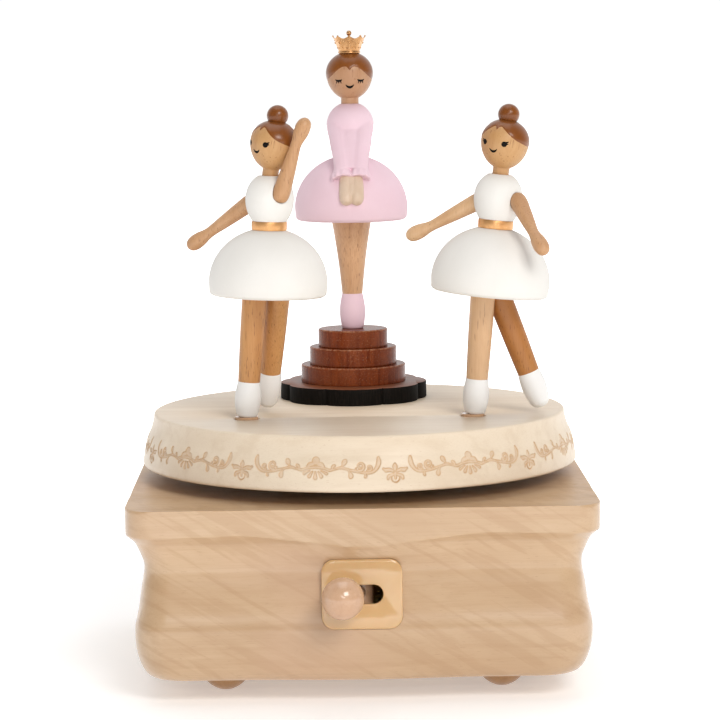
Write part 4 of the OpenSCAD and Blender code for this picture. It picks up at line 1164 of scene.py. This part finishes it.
# ---- the dancers
POSE = {
    "left": dict(
        foot=(0, 0, 0.6), leg_top=(2.9, -0.6, 36), toe=(5.2, 12.2, 2.4), free_top=(9.3, 2.4, 37.6),
        hip=(6.2, 0.8, 32.9), lean=2.0, head_lean=8.0, face=-47.0,
        arms=(((9.9, -4.5, 59.2), (14.4, -5.8, 73.4), (17.6, -6.2, 80.8)),
              ((3.4, 4.2, 58.8), (-9.6, 10.2, 49.4), (-15.8, 12.6, 45.1)))),
    "right": dict(
        foot=(0.5, 0, 0.6), leg_top=(3.1, -1.2, 36), toe=(18.6, 3.6, 2.4), free_top=(5.4, 2.1, 37),
        hip=(4.6, 0.7, 32.6), lean=5.9, head_lean=8.4, face=-32.0,
        arms=(((12, -3.4, 58.2), (15.6, -13.9, 49.6), (17.7, -17.8, 45.6)),
              ((3.4, 3, 58), (-10.4, 7, 50.6), (-17.6, 8.6, 47.3)))),
}
SKIRT, BELT, TORSO, SHOE, NECK = 17.6, 2.4, 12.1, 9.4, 2.5


def arm_part(points, grow=0.0, deeper=0.0):
    """Shoulder to fingertips as one turned and bent limb."""
    a, b, c = (Vector(p) for p in points)
    first, second = (b - a), (c - b).normalized()
    length, d = first.length, first.normalized()
    path = [a + d * along_arm for along_arm in (-1.15 - grow - deeper, -1.0 - deeper, -0.5, 0.6, 2.5)]
    path += [a + d * share * length for share in (0.3, 0.5, 0.7, 0.86)]
    path.append(a + d * 0.97 * length + second * 0.1)
    path += [b + second * along_hand for along_hand in (1.1, 2.5, 4.0, 5.3, 6.4, 7.05, 7.42, 7.5)]
    radii = [0.02, 0.9, 1.75, 2.2, 2.32, 2.18, 1.98, 1.74, 1.52, 1.43, 1.56, 1.88, 2.05, 2.0, 1.66, 1.14,
             0.52, 0.02]
    dense = spline([(*p, r) for p, r in zip(path, radii)], 4)
    radii = [max(q[3], 0.02) + grow for q in dense]
    radii[0] = radii[-1] = 0.0
    return limb([tuple(q[:3]) for q in dense], radii, 40)


def dancer(side):
    pose, body = POSE[side], side + "_dancer"
    base = Matrix.Translation(DANCER[side])
    upper = base @ Matrix.Translation(pose["hip"]) @ tilt(pose["lean"])

    def place(z):
        return upper @ shift(0, 0, z)

    def piece(kind, finish, part, looks, at, **settings):
        return make(f"{side}_{kind}_{finish}", part, body, f"{side}_{kind}", looks, at, **settings)

    stand = along(pose["foot"], pose["leg_top"])
    step = along(pose["toe"], pose["free_top"])
    flat_shoe = [(2.3, 0.0), (2.6, 0.12)] + swell(2.7, 2.97, 0.65, SHOE)[1:] + [(2.9, SHOE + 0.1)]
    toe = [(0, -0.75), (0.9, -0.7), (1.6, -0.42), (2.15, 0.05), (2.62, 0.8)]
    toe += [(r, z + 0.8) for r, z in swell(2.62, 2.97, 0.55, SHOE - 0.8)[1:]] + [(2.9, SHOE + 0.1)]
    toe = [tuple(p) for p in spline(toe, 2)]
    toe[0] = (0, toe[0][1])
    shoes = [moved(lathe(flat_shoe, 72), stand), moved(lathe([(max(r, 0), z) for r, z in toe], 72), step)]
    piece("shoes", "painted", together(shoes), (shoe_paint,), base)

    # The legs stop just inside the skirt's flat underside
    legs = []
    to_hips = upper.inverted() @ base
    for leg in (stand, step):
        points, faces = lathe([(r, z + SHOE) for r, z in swell(2.93, 3.3, 0.1, 25.4)], 64)
        for i, point in enumerate(points):
            at_hips = to_hips @ (leg @ Vector(point))
            at_hips.z = min(at_hips.z, 0.4)
            points[i] = tuple(to_hips.inverted() @ at_hips)
        legs.append((points, faces))
    # On the right dancer the free leg takes the darker wood, which is painted shade under her skirt
    looks = (pale_skin, shaded_skin) if side == "right" else (skin_wood, skin_wood)
    piece("legs", "turned", together(legs), looks, base, second=len(legs[0][1]))

    piece("skirt", "turned", lathe(skirt_outline(15.9, 4.6, SKIRT), 128), (white_paint,), place(0))
    belt = [(4.45, -0.02), (4.66, 0.06), (4.74, 0.38), (4.76, 1.2), (4.74, 2.02), (4.66, 2.34), (4.45, 2.42)]
    piece("belt", "painted", lathe(belt, 96), (gold_paint,), place(SKIRT))
    torso = [(4.2, 0.0)] + egg_outline(6.5, 6, 8.5, 7, 0.0, TORSO, 44) + [(2.2, TORSO)]
    chest = piece("torso", "turned", lathe(torso, 128), (white_paint,), place(SKIRT + BELT))
    cut(chest, [(arm_part(points, 0.13, 0.1), base) for points in pose["arms"]])
    arms = [arm_part(points) for points in pose["arms"]]
    looks = (leg_wood, leg_wood if side == "left" else pale_skin)
    piece("arms", "turned", together(arms), looks, base, second=len(arms[0][1]))

    at = place(SKIRT + BELT + TORSO) @ tilt(pose["head_lean"] - pose["lean"]) @ tilt(pose["face"], "Z")
    head = Head(6.4, NECK + 6.4, 7.5, 5.8, 2.2, -0.3)
    piece("head", "turned", lathe(head.outline()), (dancer_face,), at, sharp=45)
    mid = head.wide
    line = hairline(mid, (0, 2.75), (3, 3.15), (7, 3.65), (12, 3.7), (20, 3.25), (30, 2.4), (42, 1.4),
                    (55, 0.6), (68, 0.1), (82, -0.3), (110, -0.9), (180, -2.2))
    make(side + "_hair_painted", head.hair(line), body, None, (hair_paint,), at)
    marks = []
    for x in (-1, 1):
        e, z = x * 27, mid - 0.75
        marks.append(surface_dot(head, e, z, 0.76, 0.07, 0.95))
        for rise, reach_out in ((0.1, 10), (0.45, 8.5)):
            marks.append(head.mark([(e + x * 4, z + rise, 0.24), (e + x * 8.5, z + rise * 1.5, 0.15),
                                    (e + x * reach_out, z + rise * 1.9, 0.05)]))
    marks.append(smile(head, (0, mid - 3.0, 0.34), (6, mid - 2.8, 0.26), (10.5, mid - 2.3, 0.08)))
    make(side + "_face_marks", together(marks), body, None, (ink,), at)
    bun = [(0, -2.85)] + [polar(2.85, a) for a in np.linspace(-1.45, 1.45, 36)] + [(0, 2.85)]
    piece("bun", "painted", lathe(bun, 64), (hair_paint,), at @ shift(0, 0, NECK + 13.5))


dancer("left")
dancer("right")

# ---- floor, light and camera
bpy.ops.mesh.primitive_plane_add(size=12, location=(0, 0, 0))
ground = bpy.context.object
ground.name = "floor"
g = Nodes("floor")
speck = g.noise((0.02, 0.02, 0.02), 3)
away = g.add("VectorMath", 1, {"operation": "LENGTH"}, i0=g.coord)
white = g.mix(speck, (0.93, 0.93, 0.93), (0.90, 0.90, 0.90))
glow = g.ramp(away, 0.09, 0.6, 0.32, 1.1)
ground.data.materials.append(g.finish(Base_Color=white, Roughness=0.9, Emission_Color=(1, 1, 1),
                                      Emission_Strength=glow))

# A white studio: bright behind the object, darker on the camera's side
world = bpy.data.worlds.new("studio")
bpy.context.scene.world = world
world.use_nodes = True
sky = world.node_tree.nodes
aim = sky.new("ShaderNodeTexCoord")
parts = sky.new("ShaderNodeSeparateXYZ")
level = sky.new("ShaderNodeMapRange")
for socket, value in zip(level.inputs[1:5], (-0.15, 0.5, 0.16, 1.03)):
    socket.default_value = value
for a, b in ((aim.outputs["Generated"], parts.inputs[0]), (parts.outputs["Y"], level.inputs[0]),
             (level.outputs[0], sky["Background"].inputs[1])):
    world.node_tree.links.new(a, b)
sky["Background"].inputs[0].default_value = (1, 1, 1, 1)


def lamp(name, at, target, size, power, tint=(1, 1, 1)):
    data = bpy.data.lights.new(name, "AREA")
    data.shape = "RECTANGLE"
    data.size, data.size_y = size
    data.energy = power
    data.color = tint
    obj = bpy.data.objects.new(name, data)
    bpy.context.scene.collection.objects.link(obj)
    obj.location = at
    obj.rotation_euler = (Vector(target) - Vector(at)).to_track_quat("-Z", "Y").to_euler()


lamp("key", (0.42, -1.0, 0.80), (0, 0, 0.08), (0.5, 0.4), 7.5, (1, 0.985, 0.96))
lamp("front", (0.02, -1.25, 0.43), (0, 0, 0.04), (0.55, 0.07), 2.0)
lamp("top", (0, 0.0, 1.15), (0, 0, 0.1), (0.8, 0.8), 2.8)

YAW, PITCH, ROLL, FAR = math.radians(0.66), math.radians(6.38), math.radians(0.75), 737.91
turn = Matrix.Rotation(-YAW, 3, "Z")
eye = turn @ Vector((0.44, -FAR, 0)) + Vector((AXIS.x, AXIS.y, BOX_TOP + 113.74))
ahead = turn @ Vector((0, math.cos(PITCH), -math.sin(PITCH)))
up = turn @ Vector((0, math.sin(PITCH), math.cos(PITCH)))
right = turn @ Vector((1, 0, 0))
cam_x = right * math.cos(ROLL) - up * math.sin(ROLL)
cam_y = right * math.sin(ROLL) + up * math.cos(ROLL)
view = Matrix((cam_x, cam_y, -ahead)).transposed().to_4x4()
view.translation = eye * MM
data = bpy.data.cameras.new("camera")
data.lens = 134.95
data.sensor_width = 36
data.clip_start, data.clip_end = 0.05, 20
camera = bpy.data.objects.new("camera", data)
camera.matrix_world = view
bpy.context.scene.collection.objects.link(camera)
bpy.context.scene.camera = camera
bpy.context.scene.view_settings.view_transform = "Standard"
bpy.context.scene.view_settings.look = "None"
